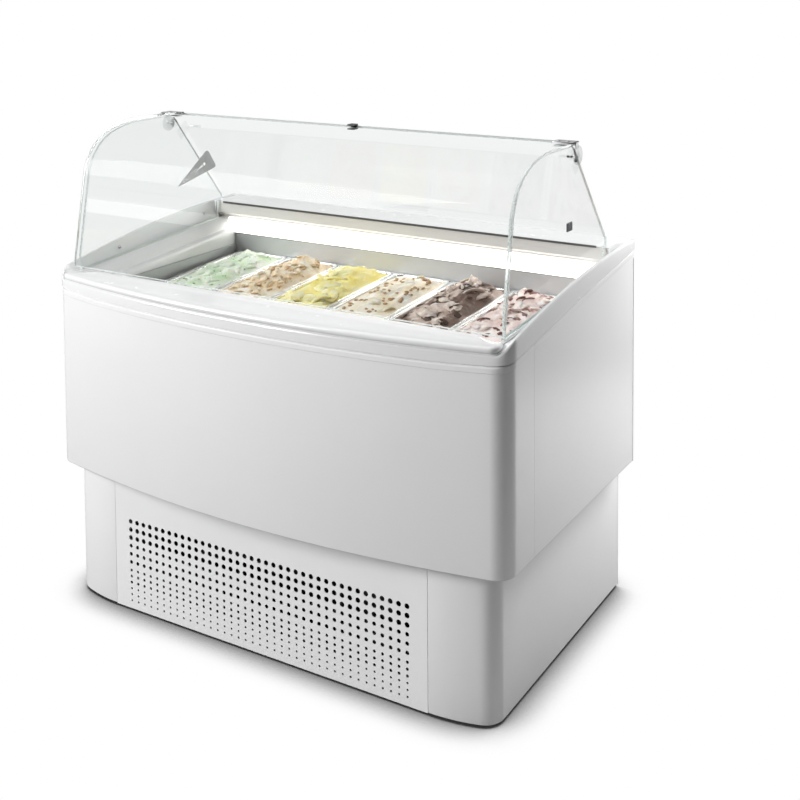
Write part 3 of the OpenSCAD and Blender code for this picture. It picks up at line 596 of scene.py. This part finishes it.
def end_glasses():
    lo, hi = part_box("end_glass_right")
    inset = GLASS_T + 0.0025
    edge = [p for p in hood_profile(inset, 0.076) if p.y > 0.80]
    outline = [(p.x, p.y) for p in edge]
    top, low, foot = Vector((0.084, 1.127)), Vector((hi.y, 0.880)), 0.8645
    heel, step = DECK_FRONT - 0.005, 0.0655
    back = (low - top).normalized()
    for i in range(5):
        a = math.radians(90 - 52 * i / 4)
        outline.append((top.x - 0.004 + 0.007 * math.cos(a), top.y - 0.0085 + 0.007 * math.sin(a)))
    outline += [tuple(low - back * 0.012), (low.x - 0.0015, low.y + 0.006), (low.x, low.y - 0.002),
                (low.x, foot), (heel, foot)]
    outline += [(heel - i * step, foot_z(heel - i * step) + 0.001) for i in range(9)]
    count = len(outline)
    for sign, side in ((-1, "left"), (1, "right")):
        x0, x1 = (lo.x, hi.x) if sign > 0 else (-hi.x, -lo.x)
        verts = [(x0, y, z) for y, z in outline] + [(x1, y, z) for y, z in outline]
        faces = [tuple(range(count)), tuple(range(2 * count - 1, count - 1, -1))]
        mats = [0, 0]
        for i in range(count):
            k = (i + 1) % count
            faces.append((i, k, count + k, count + i))
            mats.append(1)
        obj = make(f"end_pane_{side}", verts, faces, [MAT["pane"], MAT["edge"]], mats)
        place(arris(obj, 0.0006), "cabinet", "glass", f"end_glass_{side}")


# ---------- hinge caps and screws ----------
def turned(name, profile, centre, axis, mats, steps=48):
    """A turned piece: profile is a list of (radius, along) from one end's middle to the other's."""
    frame_rot = Vector((0, 0, 1)).rotation_difference(Vector(axis)).to_matrix()
    verts, faces = [], []
    for r, h in profile:
        for i in range(steps):
            a = 2 * math.pi * i / steps
            verts.append(frame_rot @ Vector((r * math.cos(a), r * math.sin(a), h)) + Vector(centre))
    for j in range(len(profile) - 1):
        for i in range(steps):
            k = (i + 1) % steps
            faces.append((j * steps + i, j * steps + k, (j + 1) * steps + k, (j + 1) * steps + i))
    faces.append(tuple(range(steps))[::-1])
    faces.append(tuple(range((len(profile) - 1) * steps, len(profile) * steps)))
    return make(name, verts, faces, mats)


def box_mesh(name, lo, hi, mats, width=0.0, segments=3):
    verts = [(x, y, z) for x in (lo[0], hi[0]) for y in (lo[1], hi[1]) for z in (lo[2], hi[2])]
    faces = [(0, 1, 3, 2), (4, 6, 7, 5), (0, 4, 5, 1), (2, 3, 7, 6), (0, 2, 6, 4), (1, 5, 7, 3)]
    obj = make(name, verts, faces, mats)
    if width:
        rounded(obj, width, segments)
    return obj


def merge(name, parts):
    """Joins finished meshes, with their modifiers applied, into one piece."""
    dg = bpy.context.evaluated_depsgraph_get()
    out = bmesh.new()
    mats = []
    for part in parts:
        dg.update()
        mesh = bpy.data.meshes.new_from_object(part.evaluated_get(dg))
        for poly in mesh.polygons:
            mat = mesh.materials[poly.material_index]
            if mat not in mats:
                mats.append(mat)
            poly.material_index = mats.index(mat)
        out.from_mesh(mesh)
        bpy.data.objects.remove(part)
    mesh = bpy.data.meshes.new(name)
    out.to_mesh(mesh)
    out.free()
    for m in mats:
        mesh.materials.append(m)
    obj = bpy.data.objects.new(name, mesh)
    bpy.context.scene.collection.objects.link(obj)
    return obj


def hinge_caps():
    lo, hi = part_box("glass_hinges")
    y, z = HINGE_Y, HINGE_Z
    x0, top, shim_x, plate_t = hi.x - 0.006, hi.z, 0.570, 0.003
    for sign, side in ((-1, "left"), (1, "right")):
        cap_profile = [(0.0195, 0), (0.0215, 0.0006), (0.022, 0.0016), (0.022, 0.0036), (0.0212, 0.0050),
                       (0.0185, 0.0058), (0.010, 0.0060), (0.0001, 0.0060)]
        cap = turned(f"cap_{side}", cap_profile, (sign * x0, y, z), (sign, 0, 0), [MAT["frost"]])
        neck = box_mesh(f"neck_{side}", (min(sign * x0, sign * (x0 + 0.0035)), y - 0.011, z + 0.015),
                        (max(sign * x0, sign * (x0 + 0.0035)), y + 0.005, top - 0.0004), [MAT["cap"]], 0.0008)
        inner_x, outer_x = sign * (-lo.x - 0.0533), sign * (x0 + 0.0035)
        plate = box_mesh(f"plate_{side}", (min(inner_x, outer_x), lo.y, top - plate_t),
                         (max(inner_x, outer_x), y + 0.005, top), [MAT["dark_metal"]], 0.0012)
        under = box_mesh(f"under_{side}", (min(inner_x, sign * shim_x), lo.y + 0.001, top - 0.0112),
                         (max(inner_x, sign * shim_x), y - 0.001, top - 0.0092), [MAT["cap"]], 0.0008)
        studs = [turned(f"stud_{side}_{i}", [(0.0040, 0), (0.0040, 0.0011), (0.0030, 0.0018), (0.0001, 0.0019)],
                        (sign * sx, y - 0.013, top - 0.0002), (0, 0, 1), [MAT["bright"]], 24)
                 for i, sx in enumerate((0.550, 0.572))]
        cap_group = merge(f"glass_hinge_{side}", [cap, neck, plate, under] + studs)
        place(cap_group, "front_glass", "bright_steel", "glass_hinges")


def stop_plates():
    """The grey stop plate with its oval opening, on the left glass, and the square pad on the right one."""
    corners = [Vector((0.090, 0.932)), Vector((0.216, 1.018)), Vector((0.254, 0.965))]
    middle = sum(corners, Vector((0, 0))) / 3
    outline, hole = [], []
    steps, corner, oval_long, oval_short = 14, 0.012, 0.024, 0.009
    for i in range(3):
        a, b, c = corners[i - 1], corners[i], corners[(i + 1) % 3]
        start, end = b.lerp(a, corner / (b - a).length), b.lerp(c, corner / (c - b).length)
        for k in range(steps):
            t = k / (steps - 1)
            outline.append(start.lerp(b, t).lerp(b.lerp(end, t), t))
    long_axis = (corners[0] - (corners[1] + corners[2]) / 2).normalized()
    across_axis = Vector((-long_axis.y, long_axis.x))
    for p in outline:
        d = p - middle
        a = math.atan2(d.dot(across_axis), d.dot(long_axis))
        hole.append(middle + long_axis * oval_long * math.cos(a) + across_axis * oval_short * math.sin(a))
    x0, x1 = -0.5736, -0.5711
    rings = [[(x, p.x, p.y) for p in ring] for ring, x in
             ((outline, x0), (outline, x1 - 0.0006), ([p.lerp(middle, 0.02) for p in outline], x1),
              ([p.lerp(middle, -0.10) for p in hole], x1), (hole, x1 - 0.0008), (hole, x0))]
    wedge = loft("wedge_plate", rings, [MAT["wedge"]], caps=False, closed_path=True)
    pad = box_mesh("square_pad", (0.5700, 0.0625, 0.9385), (0.5736, 0.0895, 0.9575), [MAT["pad"]], 0.0009)
    place(merge("flap_stops", [wedge, pad]), "cabinet", "dark_fitting", "flap_pads")


def screws():
    heads = []
    profile = [(0.0046, -0.002), (0.0046, 0.0008), (0.0040, 0.0018), (0.0024, 0.0025),
               (0.0016, 0.0025), (0.0012, 0.0012), (0.0001, 0.0010)]
    for sign in (-1, 1):
        for i, y in enumerate((-0.111, 0.224)):
            foot, crest = foot_z(y), crest_z(y)
            slope = math.atan2(crest - foot, 0.022)
            x = sign * (HALF_W - 0.0195)
            z = foot + (crest - foot) * 0.43
            axis = (-sign * math.sin(slope), 0, math.cos(slope))
            heads.append(turned(f"screw_{sign}_{i}", profile, (x, y, z), axis, [MAT["bright"]], 28))
    place(merge("rail_screw_heads", heads), "cabinet", "bright_steel", "rail_screws")


# ---------- pans ----------
TILT = math.radians(2.7)
PAN_W, PAN_L, PAN_H = 0.165, 0.360, 0.120
PAN_REAR = Vector((0, 0.279, 0.729))


def pan_place(x, point):
    """From a pan's own frame (middle of the rim) to the row frame."""
    px, py, pz = point
    py -= PAN_L / 2
    c, s = math.cos(TILT), math.sin(TILT)
    return (x + px, PAN_REAR.y + py * c - pz * s, PAN_REAR.z + py * s + pz * c)


def rounded_ring(half_w, half_l, r, z, n=8):
    ring = []
    for sx, sy, a0 in ((1, 1, 0), (-1, 1, 90), (-1, -1, 180), (1, -1, 270)):
        for i in range(n + 1):
            a = math.radians(a0 + 90 * i / n)
            ring.append((sx * (half_w - r) + r * math.cos(a), sy * (half_l - r) + r * math.sin(a), z))
    return ring


def pan_x(index):
    lo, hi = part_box(f"pan_{index}")
    return (lo.x + hi.x) / 2


def pans():
    """Pressed steel pans; each pair of a section is (inset, height over the rim), inside then outside."""
    steps = [(0.0010, -0.0034), (0.0, -0.0030), (0.0, -0.0010), (0.0004, -0.0002), (0.0012, 0.0), (0.0062, 0.0),
             (0.0078, -0.0005), (0.0088, -0.0020), (0.0094, -0.0060), (0.0100, -0.040), (0.0112, -0.106),
             (0.0132, -0.1140), (0.0180, -0.1180), (0.0300, -0.1188)]
    under = [(0.0300, -0.1198), (0.0176, -0.1190), (0.0122, -0.1148), (0.0102, -0.106), (0.0090, -0.040),
             (0.0085, -0.0060), (0.0078, -0.0030), (0.0066, -0.0012), (0.0018, -0.0012), (0.0010, -0.0018)]
    for i in range(1, 7):
        x = pan_x(i)
        rings = []
        for d, z in steps + under:
            r = max(0.006, 0.024 - d * 0.5)
            rings.append([pan_place(x, p) for p in rounded_ring(PAN_W / 2 - d, PAN_L / 2 - d, r, z)])
        n = len(rings[0])
        verts = [p for ring in rings for p in ring]
        faces = []
        last_in = len(steps) - 1
        for a in range(len(rings)):
            b = (a + 1) % len(rings)
            if a == last_in:
                faces.append(tuple(range(a * n, a * n + n)))
                faces.append(tuple(range(b * n, b * n + n))[::-1])
                continue
            for j in range(n):
                k = (j + 1) % n
                faces.append((a * n + j, a * n + k, b * n + k, b * n + j))
        obj = make(f"gelato_pan_{i}", verts, faces, [MAT["pan"]])
        place(obj, f"pan_{i}", "pan_steel", f"pan_{i}")


# ---------- ice cream ----------
def fbm(x, y, seed, octaves=4):
    value, size = 0.0, 1.0
    for _ in range(octaves):
        value += noise.noise(Vector((x, y, seed))) * size
        x, y, size = x * 2.03, y * 2.03, size * 0.5
    return value


def ridged(x, y, seed, octaves=3):
    value, size = 0.0, 1.0
    for _ in range(octaves):
        value += (1 - abs(noise.noise(Vector((x, y, seed)))) * 2.2) * size
        x, y, size = x * 2.1, y * 2.1, size * 0.48
    return value


def cellular(x, y, seed):
    d = noise.voronoi(Vector((x, y, seed)))[0]
    return d[0]


def bulge(x, y, cx, cy, rx, ry):
    q = ((x - cx) / rx) ** 2 + ((y - cy) / ry) ** 2
    return math.exp(-q * 1.4)


def mint(x, y):
    warp = fbm(x * 18, y * 14, 3.1) * 0.4
    lumps = 0.013 * (1 - cellular(x * 24 + warp, y * 17, 1.7) * 1.5)
    return 0.004 + 0.009 * bulge(x, y, 0.01, 0.10, 0.06, 0.08) + lumps + 0.002 * fbm(x * 60, y * 60, 5.0)


def peach(x, y):
    peak = 0.026 * bulge(x, y, 0.020, 0.105, 0.026, 0.034)
    return (0.003 + peak + 0.008 * bulge(x, y, 0.0, 0.02, 0.06, 0.12)
            + 0.005 * ridged(x * 30, y * 22, 2.2) + 0.002 * fbm(x * 90, y * 90, 8.0))


def lemon(x, y):
    warp = fbm(x * 9, y * 7, 4.0) * 1.7
    sheets = 0.006 * (1 - abs(math.sin(x * 75 - y * 60 + warp * 2.4)))
    sheets += 0.003 * ridged(x * 34 + warp, y * 16, 6.1)
    return 0.003 + 0.013 * bulge(x, y, 0.012, 0.075, 0.055, 0.08) + sheets


def cream(x, y):
    scoop = 0.014 * bulge(x, y, -0.004, -0.100, 0.050, 0.050)
    rear = 0.009 * bulge(x, y, 0.005, 0.06, 0.058, 0.11)
    return 0.002 + scoop + rear + 0.004 * fbm(x * 20, y * 16, 9.2) + 0.002 * ridged(x * 50, y * 50, 1.0)


def chocolate(x, y):
    return (0.004 + 0.014 * bulge(x, y, 0.012, 0.085, 0.055, 0.08)
            + 0.005 * bulge(x, y, -0.01, -0.09, 0.05, 0.05)
            + 0.006 * ridged(x * 26, y * 20, 12.0) + 0.003 * fbm(x * 80, y * 80, 2.0))


def swirl(x, y):
    warp = fbm(x * 10, y * 8, 14.0)
    return (0.004 + 0.010 * bulge(x, y, 0.0, 0.08, 0.055, 0.09)
            + 0.006 * (1 - abs(math.sin(y * 55 + x * 40 + warp * 3)))
            + 0.003 * ridged(x * 40, y * 30, 15.0))


def flake(rng, size, thin):
    """An irregular flat chip, as (vertices, faces)."""
    n = rng.choice((5, 6, 7))
    top = []
    for i in range(n):
        a = 2 * math.pi * i / n + rng.uniform(-0.25, 0.25)
        r = size * rng.uniform(0.55, 1.0)
        top.append(Vector((r * math.cos(a), r * math.sin(a) * rng.uniform(0.5, 0.9), thin / 2)))
    low = [Vector((v.x * 0.92, v.y * 0.92, -thin / 2)) for v in top]
    mid = [Vector((0, 0, thin * 0.75)), Vector((0, 0, -thin * 0.75))]
    faces = []
    for i in range(n):
        k = (i + 1) % n
        faces += [(i, k, n + k, n + i), (2 * n, k, i), (2 * n + 1, n + i, n + k)]
    return top + low + mid, faces


def nut(rng, size, thin):
    """A rounded, slightly angular crumb."""
    bm = bmesh.new()
    bmesh.ops.create_icosphere(bm, subdivisions=2, radius=size)
    stretch = Vector((rng.uniform(0.8, 1.25), rng.uniform(0.7, 1.0), rng.uniform(0.5, 0.8)))
    seed = rng.uniform(0, 50)
    for v in bm.verts:
        k = 1 + 0.3 * noise.noise(v.co * (1.1 / size) + Vector((seed, 0, 0)))
        v.co = Vector((v.co.x * stretch.x, v.co.y * stretch.y, v.co.z * stretch.z)) * k
    bm.verts.index_update()
    out = [v.co.copy() for v in bm.verts], [tuple(v.index for v in f.verts) for f in bm.faces]
    bm.free()
    return out


def curl(rng, size, thin):
    """A ribbon scraped up by the scoop: a cupped strip bent along an arc."""
    steps = 7
    arc = rng.uniform(0.7, 1.9)
    radius = size * 2 / arc
    wide = size * rng.uniform(0.35, 0.6)
    verts = []
    for i in range(steps + 1):
        t = i / steps
        a = arc * (t - 0.5)
        half = wide * (0.35 + 0.65 * math.sin(math.pi * min(1, 0.12 + t * 0.8))) * rng.uniform(0.85, 1.1)
        for side, cup in ((-1, 0.25), (0, 0.0), (1, 0.25)):
            for up in (thin / 2, -thin / 2):
                r = radius + up + cup * half
                verts.append(Vector((r * math.sin(a), side * half, r * math.cos(a) - radius)))
    faces = []
    for i in range(steps):
        a, b = i * 6, i * 6 + 6
        faces += [(a, a + 2, b + 2, b), (a + 2, a + 4, b + 4, b + 2), (a + 1, b + 1, b + 3, a + 3),
                  (a + 3, b + 3, b + 5, a + 5), (a, b, b + 1, a + 1), (a + 4, a + 5, b + 5, b + 4)]
    last = steps * 6
    faces += [(0, 1, 3, 2), (2, 3, 5, 4), (last, last + 2, last + 3, last + 1),
              (last + 2, last + 4, last + 5, last + 3)]
    return verts, faces


BITS = {"flake": flake, "nut": nut, "curl": curl}

FLAVOURS = [
    dict(name="mint", height=mint, seed=11,
         mat=frozen("mint_ice_cream", (0.94, 0.96, 0.90), (0.60, 0.79, 0.50), (0.26, 0.44, 0.18), 75, 0.67),
         bits=[(24, "curl", 0.0180, 0.0090, (0.93, 0.96, 0.88), (0.74, 0.88, 0.64)),
               (50, "nut", 0.0030, 0.0, (0.20, 0.34, 0.14), (0.36, 0.52, 0.27))]),
    dict(name="peach", height=peach, seed=12,
         mat=frozen("peach_ice_cream", (0.96, 0.89, 0.76), (0.78, 0.56, 0.31), (0.50, 0.29, 0.13), 50, 0.62),
         bits=[(42, "curl", 0.0175, 0.0038, (0.96, 0.89, 0.74), (0.78, 0.56, 0.32)),
               (50, "flake", 0.0130, 0.0026, (0.54, 0.32, 0.15), (0.84, 0.64, 0.40))]),
    dict(name="lemon", height=lemon, seed=13,
         mat=frozen("lemon_ice_cream", (0.98, 0.92, 0.56), (0.95, 0.79, 0.20), None),
         bits=[(20, "curl", 0.0340, 0.0060, (0.98, 0.93, 0.64), (0.95, 0.81, 0.26))]),
    dict(name="cream", height=cream, seed=14,
         mat=frozen("cream_ice_cream", (0.95, 0.91, 0.82), (0.82, 0.68, 0.46), None),
         bits=[(70, "nut", 0.0062, 0.0, (0.32, 0.18, 0.08), (0.58, 0.39, 0.22)),
               (8, "curl", 0.0200, 0.0070, (0.95, 0.92, 0.84), (0.84, 0.70, 0.46))]),
    dict(name="chocolate", height=chocolate, seed=15,
         mat=frozen("chocolate_ice_cream", (0.78, 0.66, 0.59), (0.42, 0.30, 0.245), None, vein=(0.20, 0.13, 0.10)),
         bits=[(34, "curl", 0.0260, 0.0040, (0.84, 0.74, 0.67), (0.52, 0.39, 0.33)),
               (46, "curl", 0.0150, 0.0024, (0.050, 0.028, 0.020), (0.13, 0.08, 0.06))]),
    dict(name="swirl", height=swirl, seed=16,
         mat=frozen("swirl_ice_cream", (0.96, 0.88, 0.85), (0.72, 0.50, 0.45), None, vein=(0.27, 0.09, 0.06)),
         bits=[(20, "curl", 0.0240, 0.0060, (0.96, 0.90, 0.87), (0.80, 0.62, 0.57)),
               (34, "curl", 0.0140, 0.0026, (0.12, 0.04, 0.03), (0.30, 0.13, 0.09))]),
]


def surface_z(flavour, x, y, edge):
    """Height of the ice cream over the rim: flush at the pan's wall, heaped in the middle and to the rear."""
    below, shoulder, front_share, rise = 0.0045, 0.034, 0.55, 0.20
    swell = smooth((edge + 0.001) / shoulder)
    heap = front_share + (1 - front_share) * smooth((y + PAN_L / 2) / rise)
    return -below + (flavour["height"](x, y) * heap + below) * swell


def ice_cream(index, flavour):
    """A heaped surface in the pan, closed by a skirt and a floor, with its pieces pressed in."""
    x0 = pan_x(index)
    wall, margin, depth, flatten, sunk = 0.0104, 0.018, 0.040, 0.75, 0.0004
    half_w, half_l = PAN_W / 2 - wall, PAN_L / 2 - wall
    nx, ny = ((66, 152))
    corner = 0.019
    tops = []
    for j in range(ny + 1):
        for i in range(nx + 1):
            u, v = -1 + 2 * i / nx, -1 + 2 * j / ny
            x, y = u * half_w, v * half_l
            over = Vector((max(0, abs(x) - half_w + corner), max(0, abs(y) - half_l + corner)))
            if over.length > corner:
                over = over.normalized() * corner
                x = math.copysign(half_w - corner + over.x, x)
                y = math.copysign(half_l - corner + over.y, y)
            edge = min(half_w - abs(x), half_l - abs(y), corner - over.length if over.length else 1)
            tops.append((x, y, surface_z(flavour, x, y, edge)))
    verts = [pan_place(x0, p) for p in tops]
    faces = []
    row = nx + 1
    for j in range(ny):
        for i in range(nx):
            a = j * row + i
            faces.append((a, a + 1, a + row + 1, a + row))
    rim = ([i for i in range(row)] + [j * row + nx for j in range(1, ny + 1)]
           + [ny * row + i for i in range(nx - 1, -1, -1)] + [j * row for j in range(ny - 1, 0, -1)])
    low = len(verts)
    for r in rim:
        x, y, _ = tops[r]
        verts.append(pan_place(x0, (x * 0.985, y * 0.993, -depth)))
    for i in range(len(rim)):
        k = (i + 1) % len(rim)
        faces.append((rim[k], rim[i], low + i, low + k))
    faces.append(tuple(low + i for i in range(len(rim)))[::-1])
    mats = [flavour["mat"]]
    marks = [0] * len(faces)
    rng = random.Random(flavour["seed"])
    for kind_index, (count, kind, size, thin, pale, deep) in enumerate(flavour["bits"], 1):
        mats.append(frozen(f"{flavour['name']}_{kind}", pale, deep, None, folds=3.0))
        for _ in range(count):
            px = rng.uniform(-half_w + margin, half_w - margin)
            py = rng.uniform(-half_l + margin, half_l - margin)
            pz = surface_z(flavour, px, py, min(half_w - abs(px), half_l - abs(py)))
            shape, sides = BITS[kind](rng, size * rng.uniform(0.55, 1.2), thin * rng.uniform(0.8, 1.2))
            spin = (Matrix.Rotation(rng.uniform(0, 6.28), 3, "Z")
                    @ Matrix.Rotation(rng.uniform(-0.8, 0.8), 3, "X")
                    @ Matrix.Rotation(rng.uniform(-0.5, 0.5), 3, "Y"))
            start = len(verts)
            for v in shape:
                v = spin @ v
                x = max(-half_w, min(half_w, px + v.x))
                y = max(-half_l, min(half_l, py + v.y))
                verts.append(pan_place(x0, (x, y, pz + v.z * flatten + sunk)))
            faces += [tuple(start + i for i in f) for f in sides]
            marks += [kind_index] * len(sides)
    obj = make(f"ice_cream_{flavour['name']}", verts, faces, mats, marks, flat=True)
    place(obj, f"pan_{index}", f"ice_cream_{index}", f"ice_cream_{index}")


# ---------- carried-over CAD nodes ----------
def dress_nodes():
    plain = {
        "chassis": ("dull", 0), "vent_panel": ("paint", 0), "base_rear_panel": ("zinc", 0),
        "body_rear_panel": ("zinc", 0), "body_floor": ("zinc", 0), "insulation": ("foam", 0),
        "inner_tank": ("liner", 0.0004), "evaporator_coil": ("copper", 0), "rear_deck": ("abs", 0.0011),
        "deck_fascia": ("fascia", 0.0004), "deck_seal": ("seal", 0.0007), "lamp_tube": ("tube", 0),
        "lamp_cover": ("diffuser", 0.0003), "lamp_holders": ("abs", 0.0008), "pan_support": ("steel", 0.0006),
        "front_infill": ("steel", 0.0004), "glass_rails": ("rail", 0.0004), "hinge_mounts": ("clip", 0.0004),
        "glass_stop": ("black", 0.0008), "rear_flap": ("acrylic", 0.0006), "flap_hinges": ("clip", 0.0004),
        "compressor": ("machine", 0.0012), "condenser": ("fins", 0),
        "fan_motor": ("machine", 0.0006), "fan_blade": ("black", 0.0004), "pipework": ("copper", 0),
        "electrical_box": ("zinc", 0.0008), "control_panel": ("black", 0.0006),
        "thermostat_knob": ("black", 0.0005), "power_switch": ("green", 0.0005),
        "light_switch": ("black", 0.0005), "power_cable": ("seal", 0),
        "foot_front_left": ("zinc", 0.0005), "foot_front_right": ("zinc", 0.0005),
        "foot_rear_left": ("zinc", 0.0005), "foot_rear_right": ("zinc", 0.0005),
    }
    for name, (mat, width) in plain.items():
        finish_node(name, mat, width)


# ---------- stage, light and camera ----------
def stage():
    shadow_reach, shade_full, shade_none = 0.11, 0.40, 0.86
    bpy.ops.mesh.primitive_plane_add(size=30, location=(0, 0, -0.0005))
    floor = bpy.context.object
    floor.name = "studio_floor"
    s = Shader("studio_floor")
    paper = s.add("ShaderNodeBsdfDiffuse")
    s.link(s.mix(s.noise(2, 2), (0.37, 0.37, 0.37), (0.39, 0.39, 0.39)), paper.inputs[0])
    # To the camera the floor is white light dimmed by ambient occlusion near the cabinet: a painted contact
    # shadow, not one cast by the lights.
    close = s.add("ShaderNodeAmbientOcclusion", Distance=shadow_reach)
    close.samples = 12
    painted_shadow_emission = s.add("ShaderNodeEmission", Color=(1, 1, 1, 1))
    s.link(s.span(close.outputs["AO"], shade_full, shade_none, 0.03, 1.0), painted_shadow_emission.inputs["Strength"])
    pick = s.add("ShaderNodeMixShader")
    s.link(s.add("ShaderNodeLightPath").outputs["Is Camera Ray"], pick.inputs[0])
    s.link(paper.outputs[0], pick.inputs[1])
    s.link(painted_shadow_emission.outputs[0], pick.inputs[2])
    s.link(pick.outputs[0], s.out.inputs[0])
    floor.data.materials.append(s.mat)


def world():
    """White to the camera; for light and reflections, bright to the left rear, dim to the right front."""
    w = bpy.data.worlds.new("studio")
    bpy.context.scene.world = w
    w.use_nodes = True
    tree = w.node_tree
    tree.nodes.clear()

    def add(kind):
        return tree.nodes.new(kind)

    out = add("ShaderNodeOutputWorld")
    pick = add("ShaderNodeMixShader")
    plain, dome = add("ShaderNodeBackground"), add("ShaderNodeBackground")
    plain.inputs[0].default_value = (1, 1, 1, 1)
    plain.inputs[1].default_value = 1.0
    dome.inputs[0].default_value = (1, 1, 1, 1)
    path = add("ShaderNodeLightPath")
    where = add("ShaderNodeTexCoord")
    dark = Vector((0.62, -0.76, 0.02)).normalized()
    dot = add("ShaderNodeVectorMath")
    dot.operation = "DOT_PRODUCT"
    dot.inputs[1].default_value = dark
    link = tree.links.new
    link(where.outputs["Generated"], dot.inputs[0])
    total = add("ShaderNodeMath")
    dome_ramp, rear_ramp = (-0.15, 0.85, 0.36, 0.03), (-0.86, -0.97, 0.0, 0.55)
    for slot, values in enumerate((dome_ramp, rear_ramp)):
        ramp = add("ShaderNodeMapRange")
        for i, v in zip((1, 2, 3, 4), values):
            ramp.inputs[i].default_value = v
        ramp.interpolation_type = "SMOOTHSTEP"
        link(dot.outputs["Value"], ramp.inputs[0])
        link(ramp.outputs[0], total.inputs[slot])
    link(total.outputs[0], dome.inputs[1])
    link(path.outputs["Is Camera Ray"], pick.inputs[0])
    link(dome.outputs[0], pick.inputs[1])
    link(plain.outputs[0], pick.inputs[2])
    link(pick.outputs[0], out.inputs[0])


def area(name, place_at, target, size, power, tone=(1, 1, 1)):
    data = bpy.data.lights.new(name, "AREA")
    data.shape = "RECTANGLE"
    data.size, data.size_y = size
    data.energy = power
    data.color = tone
    obj = bpy.data.objects.new(name, data)
    obj.location = place_at
    obj.rotation_euler = (Vector(target) - Vector(place_at)).to_track_quat("-Z", "Y").to_euler()
    bpy.context.scene.collection.objects.link(obj)
    obj.visible_camera = False
    return obj


def lights():
    area("key_left", (-3.6, -4.2, 2.9), (0, 0, 0.5), (2.6, 2.6), 350)
    area("top_box", (0.1, -0.3, 3.2), (0, 0, 0.7), (2.4, 1.2), 26)
    area("side_rear", (1.0, 1.40, 1.1), (0.6, 0.2, 0.6), (0.35, 1.1), 46).visible_glossy = False


def camera():
    """The main view, with its lens shifted down.

    A driver on the camera's own X holds the shifts at this viewpoint only, so that any
    other view has a plain centred lens."""
    spot = Vector((1.6364, -2.4108, 1.5344))
    azimuth, elevation, roll = (math.radians(a) for a in (31.121, 3.162, -0.438))
    data = bpy.data.cameras.new("view")
    data.sensor_width = 36
    data.lens = 55.27
    cam = bpy.data.objects.new("view", data)
    cam.location = spot
    ahead = Vector((-math.sin(azimuth) * math.cos(elevation), math.cos(azimuth) * math.cos(elevation),
                    -math.sin(elevation)))
    right = Vector((math.cos(azimuth), math.sin(azimuth), 0))
    up = right.cross(ahead)
    c, s = math.cos(roll), math.sin(roll)
    side, top = c * right + s * up, -s * right + c * up
    cam.rotation_mode = "QUATERNION"
    cam.rotation_quaternion = Matrix((side, top, -ahead)).transposed().to_quaternion()
    bpy.context.scene.collection.objects.link(cam)
    bpy.context.scene.camera = cam
    copies, hold, fade = 12, 0.0015, 0.004
    for prop, value in (("shift_x", 0.0022), ("shift_y", -0.4630)):
        curve = data.driver_add(prop)
        curve.driver.type = "SUM"
        for _ in range(copies):
            var = curve.driver.variables.new()
            var.type = "TRANSFORMS"
            var.targets[0].id = cam
            var.targets[0].transform_type = "LOC_X"
            var.targets[0].transform_space = "WORLD_SPACE"
        for mod in list(curve.modifiers):
            curve.modifiers.remove(mod)
        curve.keyframe_points.clear()
        curve.keyframe_points.add(4)
        peak = ((-fade, 0.0), (-hold, value), (hold, value), (fade, 0.0))
        for key, (step, v) in zip(curve.keyframe_points, peak):
            key.co = (copies * (spot.x + step), v)
            key.interpolation = "LINEAR"
        curve.update()


dress_nodes()
top_frame()
body_panels()
base_panels()
curved_glass()
end_glasses()
hinge_caps()
screws()
stop_plates()
pans()
for number, kind in enumerate(FLAVOURS, 1):
    ice_cream(number, kind)
stage()
world()
lights()
camera()
bpy.context.scene.view_settings.view_transform = "Standard"
